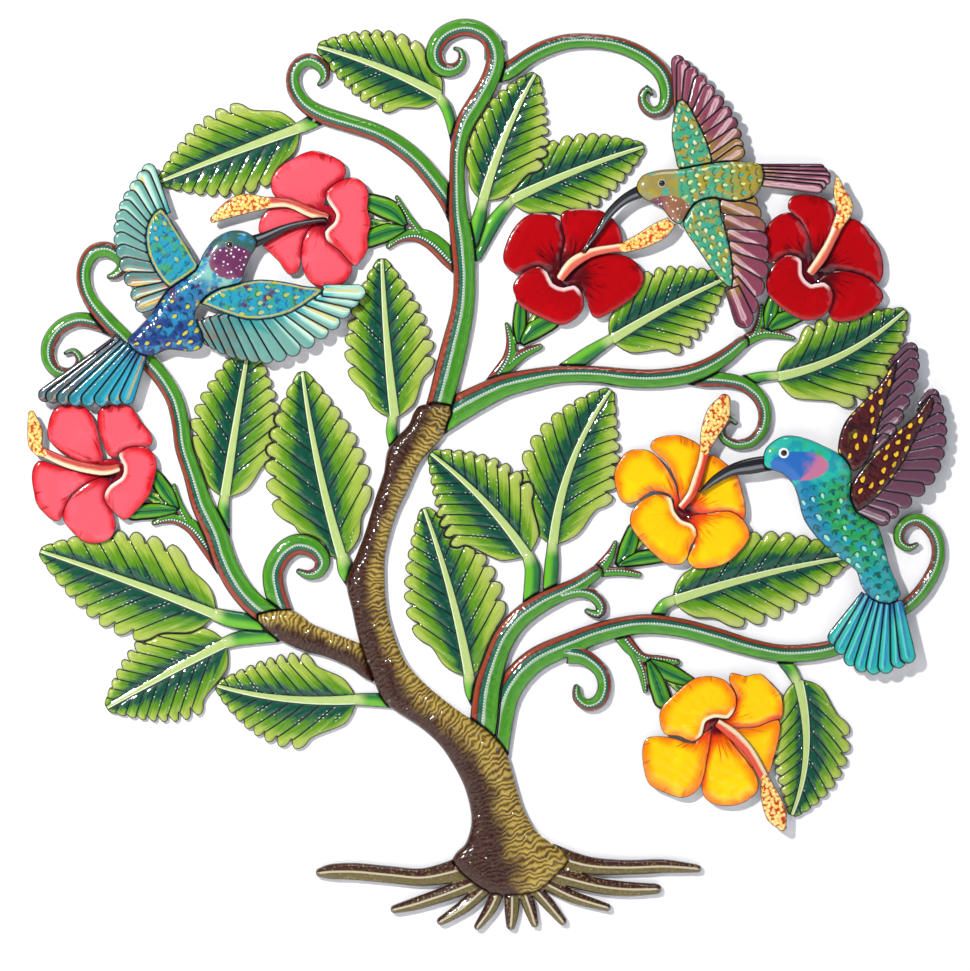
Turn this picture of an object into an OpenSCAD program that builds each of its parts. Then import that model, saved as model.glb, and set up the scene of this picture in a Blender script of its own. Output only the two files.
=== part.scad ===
// Tree of life wall plaque: cut and hammered sheet steel, painted.
// X runs right, Z runs up and the front faces -Y. The wall is the plane Y = 0.
// Layout points are [x, z] in mm, with z = 0 at the foot of the trunk, and
// are moved so that the hanging hole is the origin.

/* [Sheet] */
// Thickness of the sheet steel
sheet = 1.2; // [1:0.1:1.4]
// Gap between a piece and the edge that it tucks under
tuck_gap = 0.4; // [0.3:0.05:0.6]

/* [Relief] */
// Depth of a leaf, from its back edge to its face
leaf_depth = 4; // [3:0.5:4]
// Depth of a vine
vine_depth = 6; // [4:0.5:7]
// Depth of the trunk
trunk_depth = 9; // [7:0.5:10]
// Depth of the left limb
limb_depth = 8; // [7:0.5:9]
// Depth of the lowest petal of a flower
petal_depth = 4; // [3:0.5:4]
// Depth of a wing's lowest feather
feather_depth = 3.2; // [3:0.2:4]
// Depth of a bird's body
bird_depth = 7; // [6:0.5:8]
// Step from one petal to the next
petal_step = 0.4; // [0.3:0.1:0.4]
// Step from one feather to the next
feather_step = 0.2; // [0.15:0.05:0.25]
// Height of the raised midribs and bead lines
rib_height = 0.8; // [0.6:0.1:0.8]

/* [Leaves] */
// Number of lobes down each side of a leaf
lobes = 9; // [7:1:12]
// Forward lean of the side veins, as a slope
vein_lean = 1.1; // [0.8:0.1:1.3]
// How far the lobes stand out, as a share of the half width
lobe_bite = 0.12; // [0.05:0.01:0.16]

/* [Fasteners] */
// Radius of a rivet's shank
shank_r = 1.5; // [1.2:0.1:1.8]
// Radius of a rivet's head
rivet_head_r = 3.5; // [3:0.5:4]
// Radius of the post that holds a flower together
post_r = 2.2; // [2:0.1:2.4]

/* [Hanging] */
// Radius of the hole that the wall nail goes through
nail_hole_r = 3.5; // [2.5:0.5:4]
// Width of the hanging strap
strap_w = 20; // [18:1:22]
// Height of the hanging strap
strap_h = 18; // [14:1:22]

/* [Hidden] */

// Place of the hanging hole in the layout
hang_x = -16;
hang_z = 772;
// Distances from the wall to the back of each layer
rivet_y = sheet;
leaf_y = sheet;
vine_y = 2 * sheet;
flower_y = 6.4;
stamen_y = 12.6;
wing_y = 12.8;
bird_y = wing_y + sheet;
// Depths of the smaller solid reliefs
stamen_depth = 3;
tail_depth = 4;
beak_depth = 4;
hole_r = shank_r + 0.1;
bead_w = 2.4;
curve_step = 10;

green = [0.20, 0.55, 0.12];
leaf_green = [0.55, 0.68, 0.22];

// ---- curves ----

function at(pts, i) = pts[max(0, min(len(pts) - 1, i))];
function wrap(pts, i) = pts[(i + len(pts)) % len(pts)];
function xy(p) = [p[0], p[1]];
function spline(a, b, c, d, t) =
    0.5 * (2 * b + (c - a) * t + (2 * a - 5 * b + 4 * c - d) * t * t + (3 * b - a - 3 * c + d) * t * t * t);
function pieces(p, q, step) = max(2, ceil(norm(xy(q) - xy(p)) / step));
// Open curve through the points, the width carried along with them
function curve(pts, step = curve_step) = [
    for (i = [0 : len(pts) - 2]) let (n = pieces(pts[i], pts[i + 1], step)) for (j = [0 : n - 1])
        spline(at(pts, i - 1), pts[i], pts[i + 1], at(pts, i + 2), j / n),
    pts[len(pts) - 1]];
// Closed curve through the points
function ring(pts, n = 2) = [
    for (i = [0 : len(pts) - 1]) for (j = [0 : n - 1])
        spline(wrap(pts, i - 1), pts[i], wrap(pts, i + 1), wrap(pts, i + 2), j / n)];
// Point at t from 0 to 1 along a short curve
function along(pts, t) = let (s = t * (len(pts) - 1), i = min(len(pts) - 2, floor(s)))
    spline(at(pts, i - 1), pts[i], pts[i + 1], at(pts, i + 2), s - i);
function unit(v) = v / norm(v);
function normal(c, i) = let (d = unit(xy(at(c, i + 1)) - xy(at(c, i - 1)))) [-d[1], d[0]];
function side(c, s) = [for (i = [0 : len(c) - 1]) xy(c[i]) + s * normal(c, i) * c[i][2] / 2];
function back(list) = [for (i = [len(list) - 1 : -1 : 0]) list[i]];
// Rounded end of a strip
function cap_points(c) = let (i = len(c) - 1, n = normal(c, i), d = [n[1], -n[0]], r = c[i][2] / 2)
    [for (a = [60, 30, 0, -30, -60]) xy(c[i]) + r * (n * sin(a) + d * cos(a))];

// ---- flat shapes ----

// Strip with a width at each point, given as [x, z, width]
module strip(pts, step = curve_step) {
    c = curve(pts, step);
    polygon(concat(side(c, 1), cap_points(c), back(side(c, -1))));
}
module bead(pts) {
    strip([for (p = pts) [p[0], p[1], bead_w]]);
}
module blob(pts) {
    polygon(ring(pts));
}
module fan(roots, tips, n, w0, w1) {
    for (i = [0 : n - 1]) feather(roots, tips, i / (n - 1), w0, w1);
}
module feather(roots, tips, t, w0, w1) {
    a = along(roots, t);
    b = along(tips, t);
    strip([[a[0], a[1], w0], [b[0], b[1], w1]], 40);
}

// ---- solids ----

// Flat outline made solid between two distances from the wall
module slab(y0, y1) {
    translate([-hang_x, -y0, -hang_z]) rotate([90, 0, 0]) linear_extrude(y1 - y0) children();
}
// Sheet with its edges turned back to the wall side, open behind
module tray(y0, y1) {
    difference() {
        slab(y0, y1) offset(delta = 0.01) children();
        slab(y0 - 1, y1 - sheet) offset(delta = -sheet) children();
    }
}
module pin(x, z, y0, y1, r) {
    translate([x - hang_x, -y0, z - hang_z]) rotate([90, 0, 0]) cylinder(h = y1 - y0, r = r, $fn = 32);
}

// ---- trunk, roots and limb ----

TRUNK = [[-86, 441], [-96, 424], [-115, 401], [-119, 380], [-128, 352], [-137, 322], [-146, 299], [-154, 277],
    [-149, 252], [-142, 222], [-128, 184], [-116, 163], [-88, 144], [-66, 124], [-48, 95], [-40, 72], [-38, 52],
    [-44, 33], [-56, 19], [-40, 0], [-20, -12], [0, -14], [24, -10], [40, 4], [52, 18], [44, 30], [24, 45],
    [10, 69], [1, 100], [-7, 122], [-24, 140], [-52, 160], [-78, 181], [-98, 203], [-109, 228], [-116, 254],
    [-118, 282], [-117, 305], [-108, 338], [-96, 364], [-84, 390], [-66, 410], [-60, 425], [-57, 441]];
ROOTS = [[[-40, 12, 24], [-80, 3, 17], [-112, 5, 16], [-145, 8, 16], [-168, 8, 14], [-178, 7, 9]],
    [[-30, 0, 16], [-60, -12, 14], [-90, -22, 12], [-109, -27, 8]],
    [[-20, -2, 14], [-44, -24, 13], [-66, -38, 8]],
    [[-10, -4, 12], [-20, -26, 12], [-32, -43, 7]],
    [[0, -4, 14], [0, -26, 14], [-1, -42, 9]],
    [[8, -2, 12], [16, -24, 12], [21, -40, 8]],
    [[14, 0, 12], [32, -20, 12], [47, -38, 8]],
    [[26, 0, 12], [56, -15, 12], [88, -25, 8]],
    [[30, 8, 16], [75, -4, 15], [105, -8, 14], [134, -8, 10]],
    [[34, 24, 22], [70, 14, 17], [105, 12, 14], [142, 13, 13], [172, 11, 8]]];
LIMB = [[-236, 247], [-204, 251], [-186, 239], [-160, 228], [-138, 219], [-124, 212], [-120, 198], [-130, 184],
    [-150, 197], [-172, 207], [-196, 214], [-216, 223], [-230, 234]];

module trunk_flat() {
    polygon(ring(TRUNK));
}
module limb_flat() {
    polygon(ring(LIMB));
}
module roots_flat() {
    for (r = ROOTS) strip(r, 14);
}
root_y = vine_y + vine_depth;
trunk_y = vine_y + trunk_depth;
limb_y = vine_y + limb_depth;

module trunk_with_roots() {
    color("saddlebrown") {
        tray(vine_y, trunk_y) trunk_flat();
        tray(vine_y, root_y) difference() {
            roots_flat();
            offset(delta = -3 * sheet) trunk_flat();
        }
        slab(root_y - 0.1, root_y + rib_height) difference() {
            for (r = ROOTS) bead(r);
            trunk_flat();
        }
    }
}

module left_limb() {
    color("sienna") {
        tray(vine_y, limb_y) difference() {
            limb_flat();
            offset(delta = tuck_gap) trunk_flat();
        }
        tongue(-133, 204) intersection() {
            limb_flat();
            offset(delta = 3) trunk_flat();
        }
    }
}

// Flat tab under the edge of the parent piece, with its rivet hole
module tongue(x, z, y = leaf_y) {
    difference() {
        slab(y, y + sheet) offset(delta = -0.01) children();
        pin(x, z, y - 1, y + sheet + 1, hole_r);
    }
}

// ---- vines, as [x, z, width] from root to tip ----

MAIN_VINE = [[-74, 424, 22], [-66, 448, 24], [-55, 490, 25], [-46, 530, 22], [-44, 560, 21], [-46, 590, 22],
    [-50, 620, 19], [-51, 650, 15], [-50, 680, 15], [-43, 705, 18], [-31, 725, 19], [-20, 745, 18], [-15, 765, 18],
    [-21, 782, 17], [-34, 791, 17], [-49, 792, 17], [-64, 785, 17], [-72, 772, 16], [-70, 759, 15], [-61, 753, 14],
    [-51, 755, 12], [-46, 763, 9], [-48, 771, 6], [-53, 773, 4]];
LEFT_ARCH = [[-48, 606, 16], [-58, 630, 18], [-68, 645, 18], [-86, 667, 18], [-105, 683, 18], [-126, 695, 17],
    [-150, 703, 17], [-175, 711, 17], [-192, 721, 15], [-202, 735, 14], [-203, 750, 13], [-196, 760, 13],
    [-186, 762, 13], [-176, 755, 12], [-174, 746, 9], [-179, 740, 5]];
RIGHT_ARCH = [[-24, 746, 14], [-4, 752, 17], [12, 763, 16], [28, 772, 16], [50, 779, 15], [75, 780, 14],
    [100, 776, 15], [122, 766, 16], [138, 752, 16], [144, 738, 15], [144, 725, 14], [139, 716, 12], [130, 714, 11],
    [123, 720, 10], [121, 729, 8], [126, 736, 7], [130, 731, 4]];
RIGHT_VINE = [[-78, 420, 26], [-50, 438, 26], [-28, 450, 24], [-8, 459, 22], [15, 465, 20], [45, 470, 17],
    [80, 470, 16], [105, 467, 18], [130, 466, 18], [158, 469, 18], [180, 476, 17], [200, 488, 15], [214, 500, 12]];
RIGHT_SCROLL = [[162, 467, 12], [180, 466, 16], [198, 465, 14], [215, 461, 14], [229, 450, 14], [235, 436, 13],
    [233, 420, 12], [223, 408, 11], [209, 405, 10], [197, 411, 9], [195, 421, 8], [202, 429, 8], [208, 425, 5]];
LEFT_VINE = [[-222, 244, 20], [-240, 257, 22], [-256, 276, 22], [-267, 298, 22], [-275, 322, 22], [-288, 350, 21],
    [-297, 378, 18], [-305, 402, 17], [-308, 425, 17], [-314, 448, 17], [-326, 468, 17], [-340, 484, 17],
    [-360, 504, 16], [-378, 522, 16], [-392, 540, 14], [-398, 558, 14], [-396, 574, 14], [-388, 584, 15],
    [-376, 586, 15], [-365, 579, 13], [-362, 570, 11], [-368, 563, 9], [-374, 561, 6]];
LEFT_SCROLL_LOW = [[-356, 503, 12], [-372, 512, 13], [-388, 519, 14], [-404, 521, 14], [-420, 514, 14],
    [-430, 500, 14], [-431, 485, 13], [-424, 474, 12], [-412, 471, 11], [-403, 477, 10], [-402, 486, 8],
    [-408, 492, 6], [-415, 490, 4]];
LEFT_CURL = [[-212, 236, 18], [-215, 252, 20], [-220, 268, 20], [-222, 286, 20], [-214, 303, 20], [-200, 312, 20],
    [-184, 308, 18], [-176, 296, 15], [-181, 286, 12], [-190, 284, 9], [-198, 287, 6]];
UPPER_FORK = [[-28, 128, 24], [-26, 150, 26], [-23, 178, 25], [-16, 203, 22], [-7, 225, 21], [7, 243, 20],
    [26, 257, 19], [46, 267, 17], [64, 276, 15], [78, 286, 13]];
SMALL_CURL = [[46, 264, 10], [62, 268, 11], [75, 265, 12], [83, 255, 11], [80, 247, 9], [70, 250, 6]];
LOWER_FORK = [[-16, 118, 26], [-12, 145, 26], [-6, 170, 25], [6, 190, 24], [24, 206, 23], [50, 218, 22],
    [78, 229, 20], [105, 236, 19], [130, 238, 19], [160, 234, 18], [190, 226, 18], [220, 217, 17], [250, 211, 17],
    [280, 212, 17], [305, 218, 16], [332, 232, 15], [356, 248, 14], [372, 259, 14], [386, 276, 14], [395, 295, 13],
    [396, 312, 13], [390, 326, 14], [378, 335, 13], [366, 332, 12], [360, 323, 11], [361, 314, 10], [369, 309, 8],
    [376, 312, 5]];
LOW_CURL = [[52, 211, 20], [68, 207, 16], [82, 195, 14], [86, 180, 13], [81, 167, 13], [70, 163, 12], [61, 170, 10],
    [60, 179, 7]];

module fork_flat() {
    strip(UPPER_FORK);
    strip(SMALL_CURL);
}
module low_fork_flat() {
    difference() {
        union() {
            strip(LOWER_FORK);
            strip(LOW_CURL);
        }
        offset(delta = tuck_gap) fork_flat();
    }
}
// Everything that the leaves tuck under
module wood_flat() {
    trunk_flat();
    limb_flat();
    strip(MAIN_VINE);
    strip(LEFT_ARCH);
    strip(RIGHT_ARCH);
    strip(RIGHT_VINE);
    strip(RIGHT_SCROLL);
    strip(LEFT_VINE);
    strip(LEFT_SCROLL_LOW);
    strip(LEFT_CURL);
    fork_flat();
    low_fork_flat();
}
// Vine tray: children are its outline, its bead lines and the pieces that it tucks under
module vine(x, z) {
    color(green) {
        tray(vine_y, vine_y + vine_depth) difference() {
            children(0);
            offset(delta = tuck_gap) children(2);
        }
        slab(vine_y + vine_depth - 0.1, vine_y + vine_depth + rib_height) intersection() {
            children(1);
            offset(delta = -sheet) difference() {
                children(0);
                offset(delta = tuck_gap) children(2);
            }
        }
        tongue(x, z) intersection() {
            children(0);
            offset(delta = 3) children(2);
        }
    }
}
module main_vine() {
    vine(-73, 432) {
        strip(MAIN_VINE);
        bead(MAIN_VINE);
        trunk_flat();
    }
}
module left_arch_vine() {
    vine(-52, 612) {
        strip(LEFT_ARCH);
        bead(LEFT_ARCH);
        strip(MAIN_VINE);
    }
}
module right_arch_vine() {
    vine(-21, 747) {
        strip(RIGHT_ARCH);
        bead(RIGHT_ARCH);
        strip(MAIN_VINE);
    }
}
module right_vine() {
    vine(-68, 418) {
        strip(RIGHT_VINE);
        bead(RIGHT_VINE);
        union() {
            trunk_flat();
            strip(MAIN_VINE);
        }
    }
}
module right_scroll() {
    vine(172, 467) {
        strip(RIGHT_SCROLL);
        bead(RIGHT_SCROLL);
        strip(RIGHT_VINE);
    }
}
module left_vine() {
    vine(-226, 244) {
        strip(LEFT_VINE);
        bead(LEFT_VINE);
        limb_flat();
    }
}
module left_scroll_low() {
    vine(-366, 508) {
        strip(LEFT_SCROLL_LOW);
        bead(LEFT_SCROLL_LOW);
        strip(LEFT_VINE);
    }
}
module left_curl() {
    vine(-210, 243) {
        strip(LEFT_CURL);
        bead(LEFT_CURL);
        union() {
            limb_flat();
            strip(LEFT_VINE);
        }
    }
}
module upper_fork_vine() {
    vine(-31, 136) {
        fork_flat();
        union() {
            bead(UPPER_FORK);
            bead(SMALL_CURL);
        }
        trunk_flat();
    }
}
module lower_fork_vine() {
    vine(-14, 122) {
        low_fork_flat();
        union() {
            bead(LOWER_FORK);
            bead(LOW_CURL);
        }
        trunk_flat();
    }
}

// ---- leaves ----

// Half width of a leaf at u from 0 to 1 along it
function swell(u) = pow(max(0, sin(180 * pow(min(1, u), 0.8))), 0.85);
// Place along the leaf where a leaning vein meets the edge
function meet(q, h, l, lo, hi, n = 14) = let (m = (lo + hi) / 2)
    n == 0 ? m : (m * l - vein_lean * h * swell(m) < q ? meet(q, h, l, m, hi, n - 1) : meet(q, h, l, lo, m, n - 1));
function bezier(b, t) = b[0] * (1 - t) * (1 - t) + b[1] * 2 * t * (1 - t) + b[2] * t * t;
function bezier_way(b, t) = unit((b[1] - b[0]) * (1 - t) + (b[2] - b[1]) * t);
function leaf_point(b, u, v) = let (d = bezier_way(b, u)) bezier(b, u) + v * [-d[1], d[0]];
// Stations within one lobe as [share of the lobe, how far it stands out]
LOBE = [[0.02, 0.0], [0.3, 0.7], [0.6, 1.0], [0.85, 0.95], [0.98, 0.55]];
tip_r = 3.5;
function edge_point(b, h, l, q, out, s) = let (u = meet(q * l / lobes, abs(h), l, 0.12, 1))
    leaf_point(b, u, s * (abs(h) * swell(u) * (1 - lobe_bite + 2 * lobe_bite * out) + tip_r));
function leaf_side(b, h, s) = let (l = norm(b[1] - b[0]) / 2 + norm(b[2] - b[1]) / 2 + norm(b[2] - b[0]) / 2)
    concat([for (u = [0, 0.04, 0.09]) leaf_point(b, u, s * (h * swell(u) + tip_r))],
        [for (k = [0 : lobes - 1]) for (p = LOBE) edge_point(b, h, l, k + p[0], p[1], s)]);

// Leaves as [base, bend, tip], half width left and right of the midrib, stem strip, rivet place
LEAF_A = [[[-66, 729], [-118, 758], [-181, 775]], 31, 30, [[-76, 736, 8], [-62, 720, 11], [-56, 700, 9], [-52, 680, 8]]];
LEAF_B = [[[-198, 699], [-262, 676], [-328, 649]], 34, 36, [[-208, 696, 8], [-196, 700, 12], [-180, 708, 14]]];
LEAF_C = [[[-27, 632], [-10, 694], [22, 750]], 27, 36, [[-25, 640, 8], [-30, 618, 13], [-38, 592, 13]]];
LEAF_D = [[[-2, 632], [60, 663], [123, 682]], 28, 33, [[4, 636, 8], [-14, 616, 13], [-34, 582, 14]]];
LEAF_E = [[[-109, 430], [-118, 500], [-121, 578]], 33, 36, [[-109, 440, 8], [-112, 418, 11], [-108, 398, 10]]];
LEAF_F = [[[-267, 356], [-257, 425], [-244, 500]], 35, 36, [[-266, 364, 8], [-268, 344, 12], [-268, 318, 12]]];
LEAF_G = [[[-158, 300], [-184, 385], [-195, 473]], 43, 38, [[-160, 312, 8], [-154, 288, 16], [-142, 270, 14]]];
LEAF_H = [[[-276, 247], [-358, 280], [-439, 306]], 42, 40, [[-290, 252, 8], [-262, 243, 16], [-226, 238, 14]]];
LEAF_I = [[[-266, 221], [-322, 192], [-377, 160]], 40, 36, [[-278, 216, 8], [-256, 224, 14], [-219, 228, 14]]];
LEAF_J = [[[-145, 168], [-212, 163], [-275, 181]], 38, 36, [[-160, 168, 8], [-140, 168, 12], [-112, 167, 14]]];
LEAF_K = [[[14, 302], [-20, 354], [-76, 397]], 42, 36, [[10, 310, 8], [19, 290, 15], [16, 250, 14]]];
LEAF_L = [[[38, 312], [46, 392], [92, 456]], 38, 40, [[38, 322, 8], [37, 292, 14], [34, 262, 12]]];
LEAF_M = [[[-40, 190], [-54, 270], [-82, 346]], 37, 40, [[-42, 202, 8], [-37, 176, 14], [-24, 152, 14]]];
LEAF_N = [[[92, 502], [146, 536], [200, 560]], 32, 36, [[100, 508, 8], [72, 490, 14], [48, 474, 14]]];
LEAF_O = [[[246, 468], [312, 480], [366, 530]], 32, 40, [[258, 470, 8], [232, 468, 10], [212, 464, 10]]];
LEAF_P = [[[150, 260], [232, 288], [316, 301]], 34, 37, [[160, 264, 8], [142, 256, 12], [132, 240, 12]]];
LEAF_Q = [[[266, 186], [284, 118], [260, 60]], 34, 28, [[268, 178, 8], [260, 194, 12], [246, 212, 12]]];

module blade_flat(leaf) {
    b = leaf[0];
    polygon(concat(leaf_side(b, leaf[1], 1), back(leaf_side(b, leaf[2], -1))));
}
module leaf_flat(leaf) {
    blade_flat(leaf);
    strip(leaf[3], 12);
}
module rib_flat(leaf) {
    b = leaf[0];
    strip([for (t = [0 : 0.125 : 1]) [bezier(b, t)[0], bezier(b, t)[1], 9 - 4 * t]], 100);
}
// Leaf tray: child 0 is whatever other leaf lies over it
module leaf(leaf, x, z) {
    color(leaf_green) {
        tray(leaf_y, leaf_y + leaf_depth) difference() {
            leaf_flat(leaf);
            offset(delta = tuck_gap) wood_flat();
            if ($children > 0) offset(delta = tuck_gap) children();
        }
        slab(leaf_y + leaf_depth - 0.1, leaf_y + leaf_depth + rib_height) difference() {
            intersection() {
                rib_flat(leaf);
                offset(delta = -sheet) leaf_flat(leaf);
            }
            offset(delta = tuck_gap + sheet) wood_flat();
            if ($children > 0) offset(delta = tuck_gap + sheet) children();
        }
        tongue(x, z) difference() {
            intersection() {
                strip(leaf[3], 12);
                offset(delta = 3) wood_flat();
            }
            if ($children > 0) offset(delta = tuck_gap) children();
        }
    }
}
module leaf_a() { leaf(LEAF_A, -53, 686); }
module leaf_b() { leaf(LEAF_B, -184, 706); }
module leaf_c() { leaf(LEAF_C, -38, 596); }
module leaf_d() {
    leaf(LEAF_D, -37, 580) union() {
        leaf_flat(LEAF_C);
        strip(CALYX_3[0]);
    }
}
module leaf_e() { leaf(LEAF_E, -109, 402); }
module leaf_f() { leaf(LEAF_F, -268, 322) leaf_flat(LEAF_G); }
module leaf_g() { leaf(LEAF_G, -144, 274); }
module leaf_h() { leaf(LEAF_H, -229, 238); }
module leaf_i() { leaf(LEAF_I, -219, 228) leaf_flat(LEAF_H); }
module leaf_j() { leaf(LEAF_J, -114, 167) leaf_flat(LEAF_I); }
module leaf_k() { leaf(LEAF_K, 15, 250); }
module leaf_l() { leaf(LEAF_L, 34, 263) leaf_flat(LEAF_K); }
module leaf_m() { leaf(LEAF_M, -25, 154) leaf_flat(LEAF_K); }
module leaf_n() { leaf(LEAF_N, 52, 477); }
module leaf_o() { leaf(LEAF_O, 216, 464) calyx_flat(CALYX_4); }
module leaf_p() { leaf(LEAF_P, 132, 242); }
module leaf_q() { leaf(LEAF_Q, 246, 212); }

// ---- calyxes: stem, thorn, two sepals and the neck under the flower ----

CALYX_1 = [[[-44, 564, 14], [-58, 578, 17], [-72, 592, 17], [-88, 600, 14], [-104, 597, 9], [-115, 589, 5]],
    [[-84, 600, 8], [-96, 616, 7], [-107, 635, 4]],
    [[-98, 608, 6], [-112, 622, 20], [-132, 630, 18]], [[-98, 606, 6], [-114, 603, 18], [-134, 596, 18]],
    [[-102, 606, 8], [-186, 620, 12]]];
CALYX_2 = [[[-268, 288, 14], [-282, 310, 16], [-298, 329, 14], [-316, 336, 9], [-333, 332, 5]],
    [[-302, 334, 10], [-310, 350, 8], [-314, 367, 4]],
    [[-310, 344, 6], [-320, 358, 16], [-332, 376, 14]], [[-310, 344, 6], [-326, 344, 15], [-352, 342, 16]],
    [[-313, 345, 8], [-380, 381, 12]]];
CALYX_3 = [[[-28, 448, 14], [-14, 466, 16], [-3, 484, 13], [-1, 500, 9], [-5, 517, 4]],
    [[-4, 478, 12], [10, 489, 10], [26, 496, 6]],
    [[6, 498, 5], [7, 515, 14], [8, 534, 12]], [[8, 498, 6], [20, 511, 19], [36, 520, 18]],
    [[8, 502, 8], [56, 573, 12]]];
CALYX_4 = [[[206, 492, 9], [220, 503, 12], [234, 508, 10], [248, 507, 8], [261, 504, 5]],
    [[224, 504, 9], [230, 518, 8], [232, 534, 4]],
    [[236, 511, 5], [240, 526, 15], [244, 542, 12]], [[238, 511, 6], [250, 520, 18], [266, 525, 14]],
    [[238, 513, 8], [287, 578, 12]]];
CALYX_5 = [[[72, 282, 9], [84, 292, 12], [92, 304, 8], [96, 314, 4]],
    [[82, 286, 9], [100, 287, 9], [118, 284, 6]],
    [[97, 292, 5], [107, 306, 18], [113, 325, 14]], [[97, 292, 5], [118, 299, 15], [142, 302, 14]],
    [[99, 294, 8], [171, 371, 12]]];
CALYX_6 = [[[98, 232, 14], [110, 216, 13], [122, 207, 9], [138, 205, 8], [154, 203, 6]],
    [[113, 212, 10], [121, 194, 9], [124, 176, 5]],
    [[126, 205, 6], [144, 194, 18], [166, 184, 12]], [[126, 205, 6], [133, 188, 16], [140, 168, 18]],
    [[128, 203, 8], [205, 136, 12]]];

module calyx_flat(c) {
    for (s = c) strip(s, 10);
}
// The throat is where the post stands, and x, z is the place of the rivet under the vine
module calyx(c, throat, x, z) {
    color(green) difference() {
        union() {
            tray(leaf_y, leaf_y + leaf_depth) difference() {
                calyx_flat(c);
                offset(delta = tuck_gap) wood_flat();
            }
            for (i = [2 : 3]) slab(leaf_y + leaf_depth - 0.1, leaf_y + leaf_depth + 0.2 * i) difference() {
                offset(delta = -sheet) strip(c[i], 10);
                offset(delta = tuck_gap + sheet) wood_flat();
            }
            tongue(x, z) intersection() {
                strip(c[0], 10);
                offset(delta = 3) wood_flat();
            }
        }
    }
}
THROATS = [[-186, 620], [-380, 381], [56, 573], [287, 578], [171, 371], [205, 136]];
module calyx_1() { calyx(CALYX_1, THROATS[0], -47, 567); }
module calyx_2() { calyx(CALYX_2, THROATS[1], -268, 290); }
module calyx_3() { calyx(CALYX_3, THROATS[2], -26, 451); }
module calyx_4() { calyx(CALYX_4, THROATS[3], 209, 495); }
module calyx_5() { calyx(CALYX_5, THROATS[4], 75, 284); }
module calyx_6() { calyx(CALYX_6, THROATS[5], 100, 230); }

// ---- flowers: petals from the one at the back to the one that curls over the throat ----

PETALS_1 = [
    [[-178, 622], [-172, 640], [-157, 651], [-155, 663], [-163, 671], [-184, 678], [-203, 671], [-219, 660],
        [-224, 645], [-214, 630]],
    [[-176, 617], [-205, 627], [-226, 624], [-235, 610], [-232, 598], [-214, 602], [-195, 608]],
    [[-180, 613], [-205, 606], [-231, 593], [-227, 585], [-216, 574], [-208, 563], [-198, 567], [-195, 585],
        [-188, 603]],
    [[-178, 613], [-192, 600], [-196, 580], [-192, 562], [-182, 552], [-168, 551], [-154, 557], [-148, 572],
        [-158, 588], [-170, 600]],
    [[-173, 640], [-160, 650], [-147, 653], [-137, 647], [-133, 637], [-134, 624], [-131, 611], [-134, 598],
        [-134, 586], [-141, 575], [-147, 571], [-160, 585], [-171, 593], [-174, 603], [-166, 611], [-164, 619],
        [-170, 628]]];
PETALS_2 = [
    [[-380, 388], [-382, 404], [-387, 425], [-396, 439], [-412, 442], [-425, 438], [-431, 423], [-430, 409],
        [-416, 396], [-398, 388]],
    [[-370, 392], [-379, 402], [-385, 424], [-382, 439], [-366, 442], [-354, 440], [-345, 427], [-335, 414],
        [-336, 404], [-352, 400]],
    [[-372, 376], [-398, 379], [-424, 386], [-440, 390], [-446, 377], [-444, 360], [-440, 347], [-425, 334],
        [-416, 340], [-410, 358], [-392, 370]],
    [[-372, 376], [-392, 371], [-407, 360], [-416, 345], [-416, 333], [-401, 317], [-388, 313], [-374, 317],
        [-368, 330], [-372, 346], [-374, 362]],
    [[-366, 396], [-354, 403], [-340, 402], [-332, 395], [-330, 383], [-334, 366], [-338, 356], [-351, 341],
        [-360, 335], [-372, 344], [-379, 356], [-374, 367], [-363, 375], [-361, 385]]];
PETALS_3 = [
    [[46, 562], [25, 563], [2, 564], [-8, 576], [-6, 590], [1, 605], [13, 617], [27, 620], [42, 615], [49, 600],
        [50, 580]],
    [[46, 566], [49, 595], [45, 614], [49, 622], [66, 624], [83, 622], [96, 612], [102, 600], [100, 588], [78, 580]],
    [[46, 556], [62, 573], [85, 582], [106, 580], [118, 571], [123, 560], [118, 548], [107, 537], [80, 522],
        [72, 530], [66, 545]],
    [[1, 553], [10, 565], [24, 570], [33, 565], [38, 555], [48, 551], [58, 553], [66, 544], [66, 531], [58, 521],
        [46, 516], [30, 521], [8, 533], [3, 543]]];
PETALS_4 = [
    [[276, 572], [258, 580], [240, 573], [233, 580], [233, 598], [240, 612], [252, 620], [263, 619], [272, 608],
        [277, 592]],
    [[280, 574], [276, 598], [268, 613], [257, 623], [258, 633], [266, 637], [282, 636], [294, 631], [300, 620],
        [299, 602], [292, 588]],
    [[284, 566], [294, 586], [303, 606], [312, 615], [324, 611], [333, 599], [341, 588], [345, 570], [340, 554],
        [322, 562], [303, 566]],
    [[284, 557], [298, 566], [315, 565], [330, 560], [340, 552], [345, 542], [338, 532], [325, 523], [310, 519],
        [297, 521], [292, 535]],
    [[240, 568], [249, 578], [260, 581], [269, 576], [270, 563], [278, 554], [290, 556], [298, 547], [297, 535],
        [289, 524], [273, 520], [258, 526], [240, 541], [236, 555]]];
PETALS_5 = [
    [[156, 346], [146, 358], [130, 361], [116, 352], [103, 351], [97, 363], [95, 378], [101, 392], [111, 400],
        [128, 399], [141, 387], [152, 368]],
    [[157, 348], [153, 368], [143, 388], [129, 401], [133, 410], [150, 414], [163, 411], [176, 402], [173, 385],
        [167, 365]],
    [[162, 346], [171, 365], [177, 388], [186, 395], [198, 388], [209, 377], [214, 361], [217, 346], [214, 334],
        [198, 340], [178, 340]],
    [[162, 338], [182, 341], [202, 343], [215, 335], [221, 320], [212, 306], [201, 296], [188, 291], [170, 290],
        [163, 299], [169, 313], [170, 326]],
    [[151, 344], [148, 355], [137, 359], [123, 355], [112, 344], [110, 330], [120, 315], [134, 301], [144, 294],
        [157, 294], [163, 300], [166, 310], [172, 321], [168, 331], [158, 335]]];
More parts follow.
